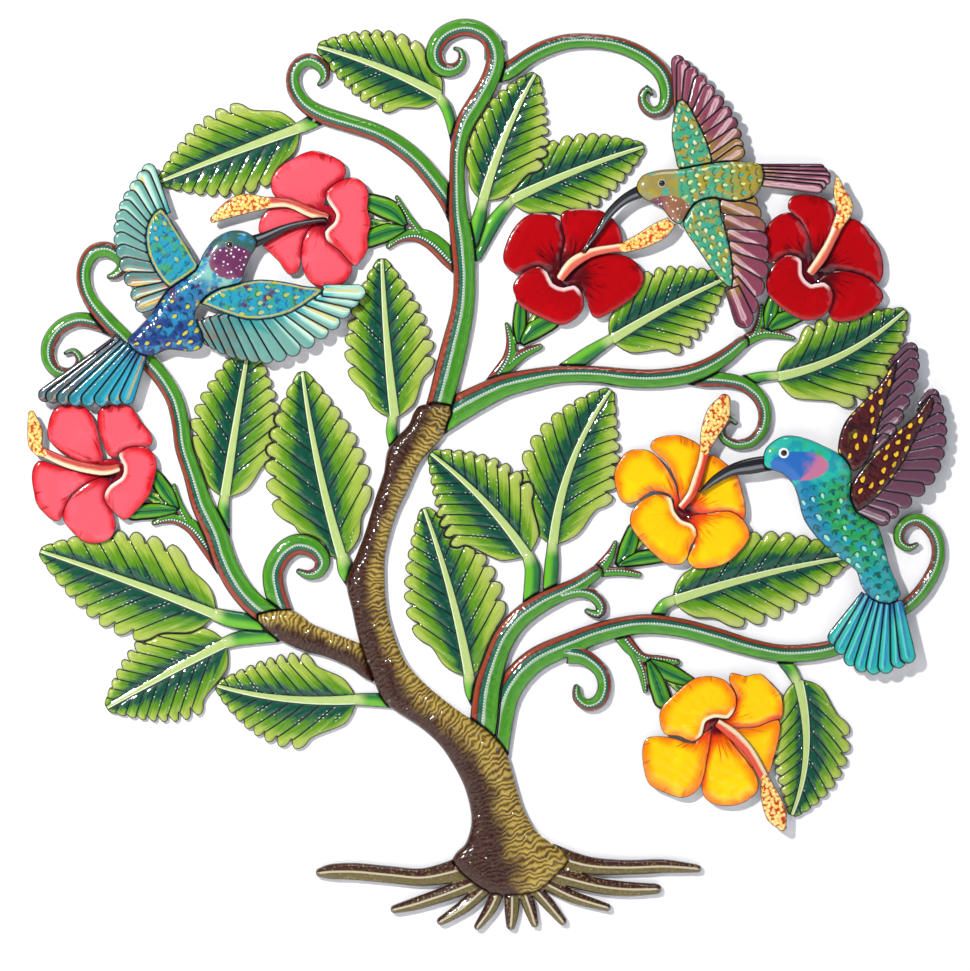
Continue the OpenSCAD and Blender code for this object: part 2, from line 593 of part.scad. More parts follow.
PETALS_6 = [
    [[188, 146], [203, 156], [209, 170], [202, 184], [204, 193], [217, 190], [231, 192], [243, 181], [250, 172],
        [252, 159], [248, 148], [228, 141], [205, 140]],
    [[190, 146], [205, 142], [228, 143], [248, 150], [248, 132], [243, 113], [237, 97], [222, 106], [206, 124]],
    [[188, 146], [181, 126], [178, 105], [176, 91], [179, 77], [191, 70], [208, 70], [221, 76], [229, 86],
        [225, 102], [208, 124]],
    [[186, 144], [170, 128], [155, 131], [140, 134], [125, 132], [121, 119], [123, 101], [128, 89], [141, 82],
        [157, 77], [169, 81], [177, 92], [181, 112]],
    [[190, 151], [201, 150], [208, 161], [208, 172], [203, 181], [196, 187], [182, 190], [168, 187], [155, 177],
        [140, 162], [137, 149], [142, 136], [155, 134], [168, 129], [177, 136], [180, 147]]];

// Centres of the throats, each with a disc that joins the petals
HEARTS = [[-176, 614], [-373, 378], [50, 562], [280, 566], [160, 342], [190, 144]];
heart_r = 14;
module corolla(petals, heart, throat, shade) {
    color(shade) difference() {
        union() {
            pin(heart[0], heart[1], flower_y, flower_y + petal_depth, heart_r);
            for (i = [0 : len(petals) - 1]) slab(flower_y, flower_y + petal_depth + petal_step * i) {
                offset(delta = 0.01) blob(petals[i]);
            }
        }
        slab(flower_y - 1, flower_y + petal_depth - sheet) offset(delta = -sheet) for (p = petals) blob(p);
        pin(throat[0], throat[1], flower_y, stamen_y + 5, hole_r);
    }
}
module corolla_1() { corolla(PETALS_1, HEARTS[0], THROATS[0], "hotpink"); }
module corolla_2() { corolla(PETALS_2, HEARTS[1], THROATS[1], "hotpink"); }
module corolla_3() { corolla(PETALS_3, HEARTS[2], THROATS[2], "crimson"); }
module corolla_4() { corolla(PETALS_4, HEARTS[3], THROATS[3], "crimson"); }
module corolla_5() { corolla(PETALS_5, HEARTS[4], THROATS[4], "gold"); }
module corolla_6() { corolla(PETALS_6, HEARTS[5], THROATS[5], "gold"); }

// Stamens as column and anther strips
STAMEN_1 = [[[-170, 616, 7], [-186, 620, 10], [-208, 629, 9], [-232, 629, 12]],
    [[-230, 629, 12], [-250, 628, 19], [-266, 621, 14], [-277, 614, 7]]];
STAMEN_2 = [[[-364, 384, 8], [-380, 381, 10], [-410, 387, 10], [-438, 399, 9]],
    [[-436, 396, 8], [-442, 404, 13], [-443, 419, 14], [-446, 433, 7]]];
STAMEN_3 = [[[44, 558, 8], [56, 573, 11], [74, 583, 9], [95, 587, 8], [106, 588, 10]],
    [[104, 588, 10], [120, 594, 15], [138, 604, 17], [148, 612, 10]]];
STAMEN_4 = [[[276, 563, 8], [287, 578, 10], [296, 594, 9], [304, 612, 11]],
    [[303, 609, 10], [309, 625, 16], [304, 639, 12], [302, 651, 5]]];
STAMEN_5 = [[[156, 346, 7], [166, 358, 9], [172, 373, 10], [177, 390, 9], [180, 404, 11]],
    [[179, 401, 10], [184, 417, 18], [192, 434, 22], [197, 446, 12]]];
STAMEN_6 = [[[190, 147, 8], [205, 136, 11], [221, 119, 10], [236, 92, 9]],
    [[235, 94, 9], [240, 77, 18], [246, 60, 19], [251, 50, 8]]];

module stamen(s) {
    color("orange") {
        tray(stamen_y, stamen_y + stamen_depth) difference() {
            for (p = s) strip(p, 8);
            offset(delta = 0.8) birds_flat();
        }
        slab(stamen_y + stamen_depth - 0.1, stamen_y + stamen_depth + rib_height) difference() {
            offset(delta = -0.8) strip(s[1], 8);
            offset(delta = 2) birds_flat();
        }
    }
}
module stamen_1() { stamen(STAMEN_1); }
module stamen_2() { stamen(STAMEN_2); }
module stamen_3() { stamen(STAMEN_3); }
module stamen_4() { stamen(STAMEN_4); }
module stamen_5() { stamen(STAMEN_5); }
module stamen_6() { stamen(STAMEN_6); }

// ---- hummingbirds: body outline, beak strip and tail fan ----

BODY_1 = [[-236, 593], [-246, 602], [-262, 603], [-278, 594], [-288, 579], [-293, 567], [-305, 558], [-320, 547],
    [-334, 527], [-350, 510], [-357, 500], [-344, 488], [-332, 488], [-318, 493], [-300, 491], [-288, 495],
    [-288, 508], [-294, 524], [-286, 540], [-270, 550], [-252, 555], [-247, 568], [-242, 580]];
BEAK_1 = [[-252, 589, 14], [-232, 596, 11], [-210, 606, 7], [-190, 611, 5], [-174, 613, 3]];
TAIL_1 = [[[-366, 503], [-354, 497], [-342, 488]], [[-433, 451], [-412, 448], [-385, 447], [-357, 449]], 8, 8, 14];
BODY_2 = [[115, 643], [122, 655], [140, 660], [158, 661], [185, 666], [212, 668], [232, 664], [232, 645], [222, 634],
    [205, 631], [186, 634], [170, 629], [162, 618], [156, 609], [147, 614], [138, 625], [122, 633]];
BEAK_2 = [[128, 643, 14], [107, 634, 10], [91, 620, 8], [79, 602, 6], [67, 585, 3]];
TAIL_2 = [[[222, 662], [224, 656], [222, 649]], [[286, 661], [292, 652], [284, 642]], 6, 7, 9];
BODY_3 = [[233, 390], [236, 402], [252, 413], [272, 411], [291, 403], [305, 395], [315, 380], [314, 358], [320, 342],
    [338, 331], [345, 313], [351, 291], [361, 266], [350, 257], [333, 262], [323, 276], [319, 288], [303, 300],
    [285, 316], [271, 335], [266, 352], [261, 367], [250, 378], [236, 383]];
BEAK_3 = [[246, 389, 14], [222, 385, 15], [204, 381, 11], [188, 372, 8], [175, 361, 3]];
TAIL_3 = [[[328, 266], [343, 262], [358, 260]], [[300, 226], [318, 204], [343, 199], [367, 209]], 8, 9, 15];

module bird_flat(body, beak, tail) {
    blob(body);
    strip(beak, 10);
    fan(tail[0], tail[1], tail[2], tail[3], tail[4]);
}
module birds_flat() {
    bird_flat(BODY_1, BEAK_1, TAIL_1);
    bird_flat(BODY_2, BEAK_2, TAIL_2);
    bird_flat(BODY_3, BEAK_3, TAIL_3);
}
module bird(body, beak, tail, shade) {
    color(shade) {
        tray(bird_y, bird_y + bird_depth) blob(body);
        difference() {
            for (i = [0 : tail[2] - 1]) slab(bird_y, bird_y + tail_depth + feather_step * i) {
                offset(delta = 0.01) feather(tail[0], tail[1], i / (tail[2] - 1), tail[3], tail[4]);
            }
            slab(bird_y - 1, bird_y + tail_depth - sheet) {
                offset(delta = -sheet) fan(tail[0], tail[1], tail[2], tail[3], tail[4]);
            }
            slab(bird_y - 1, bird_y + bird_depth + 1) offset(delta = -0.6) blob(body);
        }
        slab(bird_y, bird_y + beak_depth) difference() {
            offset(delta = 0.01) strip(beak, 10);
            offset(delta = -0.6) blob(body);
        }
    }
}
module bird_1_body() { bird(BODY_1, BEAK_1, TAIL_1, "teal"); }
module bird_2_body() { bird(BODY_2, BEAK_2, TAIL_2, "yellowgreen"); }
module bird_3_body() { bird(BODY_3, BEAK_3, TAIL_3, "seagreen"); }

// Wings as covert outline, feather roots, feather tips, number of feathers and their two widths
WING_1L = [[[-282, 562], [-291, 572], [-300, 587], [-312, 606], [-325, 624], [-336, 614], [-340, 597], [-337, 580],
    [-330, 565], [-318, 551], [-304, 550]],
    [[-322, 618], [-333, 604], [-334, 586], [-326, 566], [-312, 546]],
    [[-337, 659], [-354, 634], [-363, 606], [-358, 572], [-343, 534]], 13, 12, 14];
WING_1R = [[[-296, 540], [-276, 549], [-256, 554], [-235, 558], [-212, 556], [-192, 552], [-175, 549], [-188, 538],
    [-204, 528], [-224, 522], [-246, 521], [-264, 526], [-280, 532]],
    [[-296, 518], [-272, 526], [-240, 526], [-205, 533], [-176, 548]],
    [[-280, 503], [-254, 491], [-216, 489], [-172, 514], [-143, 546]], 15, 11, 15];
WING_2U = [[[158, 656], [151, 674], [148, 692], [150, 710], [154, 724], [162, 722], [170, 708], [178, 692], [184, 674],
    [184, 660]],
    [[155, 714], [166, 708], [177, 690], [188, 662]], [[154, 760], [177, 739], [202, 706], [210, 676]], 11, 10, 13];
WING_2D = [[[160, 638], [188, 640], [194, 618], [200, 596], [204, 574], [204, 551], [194, 557], [184, 569], [171, 588],
    [159, 607], [160, 622]],
    [[190, 640], [198, 602], [202, 574], [204, 550]], [[219, 628], [228, 598], [228, 562], [215, 522]], 9, 14, 19];
WING_3L = [[[304, 392], [303, 408], [309, 426], [322, 441], [340, 460], [357, 484], [353, 462], [345, 440], [338, 415],
    [332, 394], [318, 380]],
    [[352, 478], [348, 452], [342, 425], [334, 396]], [[370, 493], [371, 472], [361, 440], [346, 408]], 9, 11, 14];
WING_3R = [[[306, 350], [318, 374], [335, 395], [355, 415], [374, 432], [388, 450], [390, 438], [376, 416], [365, 393],
    [350, 370], [334, 353], [318, 342]],
    [[380, 438], [370, 408], [350, 376], [318, 346]], [[390, 450], [397, 418], [386, 374], [344, 336]], 13, 11, 14];

module wing_flat(w) {
    blob(w[0]);
    fan(w[1], w[2], w[3], w[4], w[5]);
}
// The wing tucks under the body, and other is a wing that it lies behind
module wing(w, body, x, z, shade) {
    color(shade) {
        difference() {
            union() {
                for (i = [0 : w[3] - 1]) slab(wing_y, wing_y + feather_depth + feather_step * i) {
                    offset(delta = 0.01) feather(w[1], w[2], i / (w[3] - 1), w[4], w[5]);
                }
                slab(wing_y, wing_y + feather_depth + feather_step * w[3] + 0.6) blob(w[0]);
            }
            slab(wing_y - 1, wing_y + feather_depth - sheet) offset(delta = -sheet) wing_flat(w);
            slab(wing_y - 1, wing_y + 12) offset(delta = tuck_gap) union() {
                blob(body);
                children();
            }
        }
        tongue(x, z, wing_y) intersection() {
            wing_flat(w);
            offset(delta = 2) blob(body);
        }
    }
}
module bird_1_wing_left() { wing(WING_1L, BODY_1, -294, 560, "turquoise"); }
module bird_1_wing_right() { wing(WING_1R, BODY_1, -292, 538, "turquoise"); }
module bird_2_wing_up() { wing(WING_2U, BODY_2, 170, 659, "indianred"); }
module bird_2_wing_down() { wing(WING_2D, BODY_2, 176, 637, "indianred"); }
module bird_3_wing_left() { wing(WING_3L, BODY_3, 309, 385, "maroon") wing_flat(WING_3R); }
module bird_3_wing_right() { wing(WING_3R, BODY_3, 310, 354, "maroon"); }

// ---- hanging strap and fasteners ----

module hanging_strap() {
    color("silver") difference() {
        translate([-strap_w / 2, -vine_y, -strap_h / 2]) cube([strap_w, vine_y, strap_h]);
        pin(hang_x, hang_z, -1, vine_y + 1, nail_hole_r);
    }
}
// Rivets as [x, z, distance from the wall to the inside of the piece that they hold]
under_vine = vine_y + vine_depth - sheet;
under_trunk = trunk_y - sheet;
under_limb = limb_y - sheet;
under_bird = bird_y + bird_depth - sheet;
RIVETS = [[-133, 204, under_trunk], [-73, 432, under_trunk], [-68, 418, under_trunk], [-31, 136, under_trunk],
    [-14, 122, under_trunk], [-109, 402, under_trunk], [-144, 274, under_trunk], [-114, 167, under_trunk],
    [-226, 244, under_limb], [-210, 243, under_limb], [-229, 238, under_limb], [-219, 228, under_limb],
    [-52, 612, under_vine], [-21, 747, under_vine], [172, 467, under_vine], [-366, 508, under_vine],
    [-53, 686, under_vine], [-184, 706, under_vine], [-38, 596, under_vine], [-37, 580, under_vine],
    [-268, 322, under_vine], [15, 250, under_vine], [34, 263, under_vine], [-25, 154, under_vine],
    [52, 477, under_vine], [216, 464, under_vine], [132, 242, under_vine], [246, 212, under_vine],
    [-47, 567, under_vine], [-268, 290, under_vine], [-26, 451, under_vine], [209, 495, under_vine],
    [75, 284, under_vine], [100, 230, under_vine]];
WING_RIVETS = [[-294, 560], [-292, 538], [170, 659], [176, 637], [309, 385], [310, 354]];

module stem_rivets() {
    color("dimgray") {
        for (r = RIVETS) {
            pin(r[0], r[1], 0, rivet_y, rivet_head_r);
            pin(r[0], r[1], rivet_y, r[2], shank_r);
        }
        for (r = WING_RIVETS) {
            pin(r[0], r[1], wing_y - sheet, wing_y, rivet_head_r);
            pin(r[0], r[1], wing_y, under_bird, shank_r);
        }
    }
}
module flower_posts() {
    color("dimgray") for (t = THROATS) {
        pin(t[0], t[1], leaf_y + leaf_depth, flower_y + petal_depth - sheet, post_r);
        pin(t[0], t[1], flower_y + petal_depth - sheet, stamen_y + stamen_depth - sheet, shank_r);
    }
}
// Posts as [x, z, from, to]
petal_y = flower_y + petal_depth;
vine_face = vine_y + vine_depth;
tail_inside = bird_y + tail_depth - sheet;
BIRD_POSTS = [[-368, 503, vine_face, tail_inside], [-200, 610, petal_y + petal_step, bird_y],
    [88, 615, petal_y + petal_step, bird_y], [197, 559, leaf_y + leaf_depth, wing_y + feather_depth - sheet],
    [198, 379, petal_y + 2 * petal_step, bird_y], [334, 238, vine_face, tail_inside]];
module bird_posts() {
    color("dimgray") for (p = BIRD_POSTS) pin(p[0], p[1], p[2], p[3], shank_r);
}

trunk_with_roots();
left_limb();
main_vine();
left_arch_vine();
right_arch_vine();
right_vine();
right_scroll();
left_vine();
left_scroll_low();
left_curl();
upper_fork_vine();
lower_fork_vine();
leaf_a();
leaf_b();
leaf_c();
leaf_d();
leaf_e();
leaf_f();
leaf_g();
leaf_h();
leaf_i();
leaf_j();
leaf_k();
leaf_l();
leaf_m();
leaf_n();
leaf_o();
leaf_p();
leaf_q();
calyx_1();
calyx_2();
calyx_3();
calyx_4();
calyx_5();
calyx_6();
corolla_1();
corolla_2();
corolla_3();
corolla_4();
corolla_5();
corolla_6();
stamen_1();
stamen_2();
stamen_3();
stamen_4();
stamen_5();
stamen_6();
bird_1_body();
bird_1_wing_left();
bird_1_wing_right();
bird_2_body();
bird_2_wing_up();
bird_2_wing_down();
bird_3_body();
bird_3_wing_left();
bird_3_wing_right();
hanging_strap();
stem_rivets();
flower_posts();
bird_posts();
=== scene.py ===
"""Looks of the tree of life wall plaque, built on its steel frame.

Each cut and hammered piece of sheet is rebuilt as one thin shell that follows the outline of
its node: a rounded, chased face, a hollow back and a thin rim. Layout points are [x, z] in mm
with z = 0 at the foot of the trunk, as in the part's own source. Depths are mm from the wall.
"""

import math

import bpy
import numpy as np
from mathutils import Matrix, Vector, geometry, kdtree


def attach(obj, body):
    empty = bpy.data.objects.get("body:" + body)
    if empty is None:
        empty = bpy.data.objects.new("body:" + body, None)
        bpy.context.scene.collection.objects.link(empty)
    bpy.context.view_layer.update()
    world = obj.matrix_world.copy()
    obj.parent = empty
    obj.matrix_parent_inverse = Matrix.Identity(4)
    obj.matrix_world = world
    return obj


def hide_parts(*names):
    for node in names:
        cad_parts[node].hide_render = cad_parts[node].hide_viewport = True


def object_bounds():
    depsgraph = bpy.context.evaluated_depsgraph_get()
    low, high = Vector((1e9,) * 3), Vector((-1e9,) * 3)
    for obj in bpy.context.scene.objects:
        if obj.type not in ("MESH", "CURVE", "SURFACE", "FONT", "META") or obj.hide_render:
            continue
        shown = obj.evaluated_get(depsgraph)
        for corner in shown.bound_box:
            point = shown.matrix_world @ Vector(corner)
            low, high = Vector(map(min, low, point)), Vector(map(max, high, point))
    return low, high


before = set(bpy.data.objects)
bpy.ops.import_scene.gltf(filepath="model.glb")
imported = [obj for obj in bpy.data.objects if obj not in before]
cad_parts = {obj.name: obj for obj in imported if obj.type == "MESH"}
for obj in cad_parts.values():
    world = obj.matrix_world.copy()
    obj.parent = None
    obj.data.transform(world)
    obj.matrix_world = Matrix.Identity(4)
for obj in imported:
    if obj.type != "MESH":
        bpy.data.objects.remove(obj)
steel_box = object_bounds()

bl_info = {
    "name": "Tree of Life Plaque",
    "version": (1, 0, 0),
    "blender": (4, 5, 0),
    "location": "View3D > Sidebar > Plaque",
    "description": "Builds the painted and hammered pieces of a tree of life wall plaque",
    "category": "Object",
}

# ---- layout, in mm ----

# Place of the hanging hole, which is the origin of the frame
HANG = (-16.0, 772.0)
# Depths of the back edges of each layer
LEAF_BACK = 1.2
VINE_BACK = 2.4
FLOWER_BACK = 6.4
STAMEN_BACK = 12.6
WING_BACK = 12.8
BIRD_BACK = 14.0
# Depths of the faces of the lowest petal and feathers, and the steps up from them
PETAL_FACE = FLOWER_BACK + 4.0
PETAL_STEP = 0.4
WING_FACE = 16.0
TAIL_FACE = 18.0
FEATHER_STEP = 0.2
# Depth past which a face belongs to the body of a bird
BODY_FACE = 20.5
# Leaves: number of lobes down a side, and forward lean of the side veins
LOBES = 9
VEIN_LEAN = 1.1
# Distance from an edge at which the fields stop counting
FAR = 30.0
# Parts of a sheet are numbered from 0. Faces outside it and tabs have these numbers.
OUTSIDE = -1
TAB = -2
# Marks of triangles that have no part yet, and of those in the group being filled
UNKNOWN = -9
WAITING = -8
# Points are told apart at this many steps to the mm
SNAP = 200


# Centre lines as [x, z, width], each root from the trunk out
ROOTS = [
    [[-40, 12, 24], [-80, 3, 17], [-112, 5, 16], [-145, 8, 16], [-168, 8, 14], [-178, 7, 9]],
    [[-30, 0, 16], [-60, -12, 14], [-90, -22, 12], [-109, -27, 8]],
    [[-20, -2, 14], [-44, -24, 13], [-66, -38, 8]], [[-10, -4, 12], [-20, -26, 12], [-32, -43, 7]],
    [[0, -4, 14], [0, -26, 14], [-1, -42, 9]], [[8, -2, 12], [16, -24, 12], [21, -40, 8]],
    [[14, 0, 12], [32, -20, 12], [47, -38, 8]], [[26, 0, 12], [56, -15, 12], [88, -25, 8]],
    [[30, 8, 16], [75, -4, 15], [105, -8, 14], [134, -8, 10]],
    [[34, 24, 22], [70, 14, 17], [105, 12, 14], [142, 13, 13], [172, 11, 8]],
]
# Vines, each from its foot to the end of its scroll
VINES = {
    "main_vine": [
        [-74, 424, 22], [-66, 448, 24], [-55, 490, 25], [-46, 530, 22], [-44, 560, 21],
        [-46, 590, 22], [-50, 620, 19], [-51, 650, 15], [-50, 680, 15], [-43, 705, 18],
        [-31, 725, 19], [-20, 745, 18], [-15, 765, 18], [-21, 782, 17], [-34, 791, 17],
        [-49, 792, 17], [-64, 785, 17], [-72, 772, 16], [-70, 759, 15], [-61, 753, 14],
        [-51, 755, 12], [-46, 763, 9], [-48, 771, 6], [-53, 773, 4],
    ],
    "left_arch_vine": [
        [-48, 606, 16], [-58, 630, 18], [-68, 645, 18], [-86, 667, 18], [-105, 683, 18],
        [-126, 695, 17], [-150, 703, 17], [-175, 711, 17], [-192, 721, 15], [-202, 735, 14],
        [-203, 750, 13], [-196, 760, 13], [-186, 762, 13], [-176, 755, 12], [-174, 746, 9],
        [-179, 740, 5],
    ],
    "right_arch_vine": [
        [-24, 746, 14], [-4, 752, 17], [12, 763, 16], [28, 772, 16], [50, 779, 15], [75, 780, 14],
        [100, 776, 15], [122, 766, 16], [138, 752, 16], [144, 738, 15], [144, 725, 14],
        [139, 716, 12], [130, 714, 11], [123, 720, 10], [121, 729, 8], [126, 736, 7], [130, 731, 4],
    ],
    "right_vine": [
        [-78, 420, 26], [-50, 438, 26], [-28, 450, 24], [-8, 459, 22], [15, 465, 20], [45, 470, 17],
        [80, 470, 16], [105, 467, 18], [130, 466, 18], [158, 469, 18], [180, 476, 17],
        [200, 488, 15], [214, 500, 12],
    ],
    "right_scroll": [
        [162, 467, 12], [180, 466, 16], [198, 465, 14], [215, 461, 14], [229, 450, 14],
        [235, 436, 13], [233, 420, 12], [223, 408, 11], [209, 405, 10], [197, 411, 9],
        [195, 421, 8], [202, 429, 8], [208, 425, 5],
    ],
    "left_vine": [
        [-222, 244, 20], [-240, 257, 22], [-256, 276, 22], [-267, 298, 22], [-275, 322, 22],
        [-288, 350, 21], [-297, 378, 18], [-305, 402, 17], [-308, 425, 17], [-314, 448, 17],
        [-326, 468, 17], [-340, 484, 17], [-360, 504, 16], [-378, 522, 16], [-392, 540, 14],
        [-398, 558, 14], [-396, 574, 14], [-388, 584, 15], [-376, 586, 15], [-365, 579, 13],
        [-362, 570, 11], [-368, 563, 9], [-374, 561, 6],
    ],
    "left_scroll_low": [
        [-356, 503, 12], [-372, 512, 13], [-388, 519, 14], [-404, 521, 14], [-420, 514, 14],
        [-430, 500, 14], [-431, 485, 13], [-424, 474, 12], [-412, 471, 11], [-403, 477, 10],
        [-402, 486, 8], [-408, 492, 6], [-415, 490, 4],
    ],
    "left_curl": [
        [-212, 236, 18], [-215, 252, 20], [-220, 268, 20], [-222, 286, 20], [-214, 303, 20],
        [-200, 312, 20], [-184, 308, 18], [-176, 296, 15], [-181, 286, 12], [-190, 284, 9],
        [-198, 287, 6],
    ],
    "upper_fork_vine": [
        [-28, 128, 24], [-26, 150, 26], [-23, 178, 25], [-16, 203, 22], [-7, 225, 21], [7, 243, 20],
        [26, 257, 19], [46, 267, 17], [64, 276, 15], [78, 286, 13],
    ],
    "lower_fork_vine": [
        [-16, 118, 26], [-12, 145, 26], [-6, 170, 25], [6, 190, 24], [24, 206, 23], [50, 218, 22],
        [78, 229, 20], [105, 236, 19], [130, 238, 19], [160, 234, 18], [190, 226, 18],
        [220, 217, 17], [250, 211, 17], [280, 212, 17], [305, 218, 16], [332, 232, 15],
        [356, 248, 14], [372, 259, 14], [386, 276, 14], [395, 295, 13], [396, 312, 13],
        [390, 326, 14], [378, 335, 13], [366, 332, 12], [360, 323, 11], [361, 314, 10],
        [369, 309, 8], [376, 312, 5],
    ],
}
# A second curl that is cut from the same sheet as a vine
SMALL_CURLS = {
    "upper_fork_vine": [
        [46, 264, 10], [62, 268, 11], [75, 265, 12], [83, 255, 11], [80, 247, 9], [70, 250, 6],
    ],
    "lower_fork_vine": [
        [52, 211, 20], [68, 207, 16], [82, 195, 14], [86, 180, 13], [81, 167, 13], [70, 163, 12],
        [61, 170, 10], [60, 179, 7],
    ],
}
# Vines whose rust edge is on their right
RUST_ON_RIGHT = ('right_scroll', 'left_curl')
# Leaves: midrib as a bend of three points, widths left and right of it, and stem
LEAVES = {
    "leaf_a": [
        [[-66, 729], [-118, 758], [-181, 775]], 31, 30,
        [[-76, 736, 8], [-62, 720, 11], [-56, 700, 9], [-52, 680, 8]],
    ],
    "leaf_b": [
        [[-198, 699], [-262, 676], [-328, 649]], 34, 36,
        [[-208, 696, 8], [-196, 700, 12], [-180, 708, 14]],
    ],
    "leaf_c": [
        [[-27, 632], [-10, 694], [22, 750]], 27, 36,
        [[-25, 640, 8], [-30, 618, 13], [-38, 592, 13]],
    ],
    "leaf_d": [
        [[-2, 632], [60, 663], [123, 682]], 28, 33, [[4, 636, 8], [-14, 616, 13], [-34, 582, 14]],
    ],
    "leaf_e": [
        [[-109, 430], [-118, 500], [-121, 578]], 33, 36,
        [[-109, 440, 8], [-112, 418, 11], [-108, 398, 10]],
    ],
    "leaf_f": [
        [[-267, 356], [-257, 425], [-244, 500]], 35, 36,
        [[-266, 364, 8], [-268, 344, 12], [-268, 318, 12]],
    ],
    "leaf_g": [
        [[-158, 300], [-184, 385], [-195, 473]], 43, 38,
        [[-160, 312, 8], [-154, 288, 16], [-142, 270, 14]],
    ],
    "leaf_h": [
        [[-276, 247], [-358, 280], [-439, 306]], 42, 40,
        [[-290, 252, 8], [-262, 243, 16], [-226, 238, 14]],
    ],
    "leaf_i": [
        [[-266, 221], [-322, 192], [-377, 160]], 40, 36,
        [[-278, 216, 8], [-256, 224, 14], [-219, 228, 14]],
    ],
    "leaf_j": [
        [[-145, 168], [-212, 163], [-275, 181]], 38, 36,
        [[-160, 168, 8], [-140, 168, 12], [-112, 167, 14]],
    ],
    "leaf_k": [
        [[14, 302], [-20, 354], [-76, 397]], 42, 36, [[10, 310, 8], [19, 290, 15], [16, 250, 14]],
    ],
    "leaf_l": [
        [[38, 312], [46, 392], [92, 456]], 38, 40, [[38, 322, 8], [37, 292, 14], [34, 262, 12]],
    ],
    "leaf_m": [
        [[-40, 190], [-54, 270], [-82, 346]], 37, 40,
        [[-42, 202, 8], [-37, 176, 14], [-24, 152, 14]],
    ],
    "leaf_n": [
        [[92, 502], [146, 536], [200, 560]], 32, 36, [[100, 508, 8], [72, 490, 14], [48, 474, 14]],
    ],
    "leaf_o": [
        [[246, 468], [312, 480], [366, 530]], 32, 40,
        [[258, 470, 8], [232, 468, 10], [212, 464, 10]],
    ],
    "leaf_p": [
        [[150, 260], [232, 288], [316, 301]], 34, 37,
        [[160, 264, 8], [142, 256, 12], [132, 240, 12]],
    ],
    "leaf_q": [
        [[266, 186], [284, 118], [260, 60]], 34, 28,
        [[268, 178, 8], [260, 194, 12], [246, 212, 12]],
    ],
}
# Calyxes: stem, thorn, two sepals and the strip under the petals
CALYXES = [
    [
        [
            [-44, 564, 14], [-58, 578, 17], [-72, 592, 17], [-88, 600, 14], [-104, 597, 9],
            [-115, 589, 5],
        ],
        [[-84, 600, 8], [-96, 616, 7], [-107, 635, 4]],
        [[-98, 608, 6], [-112, 622, 20], [-132, 630, 18]],
        [[-98, 606, 6], [-114, 603, 18], [-134, 596, 18]], [[-102, 606, 8], [-186, 620, 12]],
    ],
    [
        [[-268, 288, 14], [-282, 310, 16], [-298, 329, 14], [-316, 336, 9], [-333, 332, 5]],
        [[-302, 334, 10], [-310, 350, 8], [-314, 367, 4]],
        [[-310, 344, 6], [-320, 358, 16], [-332, 376, 14]],
        [[-310, 344, 6], [-326, 344, 15], [-352, 342, 16]], [[-313, 345, 8], [-380, 381, 12]],
    ],
    [
        [[-28, 448, 14], [-14, 466, 16], [-3, 484, 13], [-1, 500, 9], [-5, 517, 4]],
        [[-4, 478, 12], [10, 489, 10], [26, 496, 6]], [[6, 498, 5], [7, 515, 14], [8, 534, 12]],
        [[8, 498, 6], [20, 511, 19], [36, 520, 18]], [[8, 502, 8], [56, 573, 12]],
    ],
    [
        [[206, 492, 9], [220, 503, 12], [234, 508, 10], [248, 507, 8], [261, 504, 5]],
        [[224, 504, 9], [230, 518, 8], [232, 534, 4]],
        [[236, 511, 5], [240, 526, 15], [244, 542, 12]],
        [[238, 511, 6], [250, 520, 18], [266, 525, 14]], [[238, 513, 8], [287, 578, 12]],
    ],
    [
        [[72, 282, 9], [84, 292, 12], [92, 304, 8], [96, 314, 4]],
        [[82, 286, 9], [100, 287, 9], [118, 284, 6]],
        [[97, 292, 5], [107, 306, 18], [113, 325, 14]],
        [[97, 292, 5], [118, 299, 15], [142, 302, 14]], [[99, 294, 8], [171, 371, 12]],
    ],
    [
        [[98, 232, 14], [110, 216, 13], [122, 207, 9], [138, 205, 8], [154, 203, 6]],
        [[113, 212, 10], [121, 194, 9], [124, 176, 5]],
        [[126, 205, 6], [144, 194, 18], [166, 184, 12]],
        [[126, 205, 6], [133, 188, 16], [140, 168, 18]], [[128, 203, 8], [205, 136, 12]],
    ],
]
# Hearts of the flowers
HEARTS = [[-176, 614], [-373, 378], [50, 562], [280, 566], [160, 342], [190, 144]]
# Stamens: column and tip
STAMENS = [
    [
        [[-170, 616, 7], [-186, 620, 10], [-208, 629, 9], [-232, 629, 12]],
        [[-230, 629, 12], [-250, 628, 19], [-266, 621, 14], [-277, 614, 7]],
    ],
    [
        [[-364, 384, 8], [-380, 381, 10], [-410, 387, 10], [-438, 399, 9]],
        [[-436, 396, 8], [-442, 404, 13], [-443, 419, 14], [-446, 433, 7]],
    ],
    [
        [[44, 558, 8], [56, 573, 11], [74, 583, 9], [95, 587, 8], [106, 588, 10]],
        [[104, 588, 10], [120, 594, 15], [138, 604, 17], [148, 612, 10]],
    ],
    [
        [[276, 563, 8], [287, 578, 10], [296, 594, 9], [304, 612, 11]],
        [[303, 609, 10], [309, 625, 16], [304, 639, 12], [302, 651, 5]],
    ],
    [
        [[156, 346, 7], [166, 358, 9], [172, 373, 10], [177, 390, 9], [180, 404, 11]],
        [[179, 401, 10], [184, 417, 18], [192, 434, 22], [197, 446, 12]],
    ],
    [
        [[190, 147, 8], [205, 136, 11], [221, 119, 10], [236, 92, 9]],
        [[235, 94, 9], [240, 77, 18], [246, 60, 19], [251, 50, 8]],
    ],
]
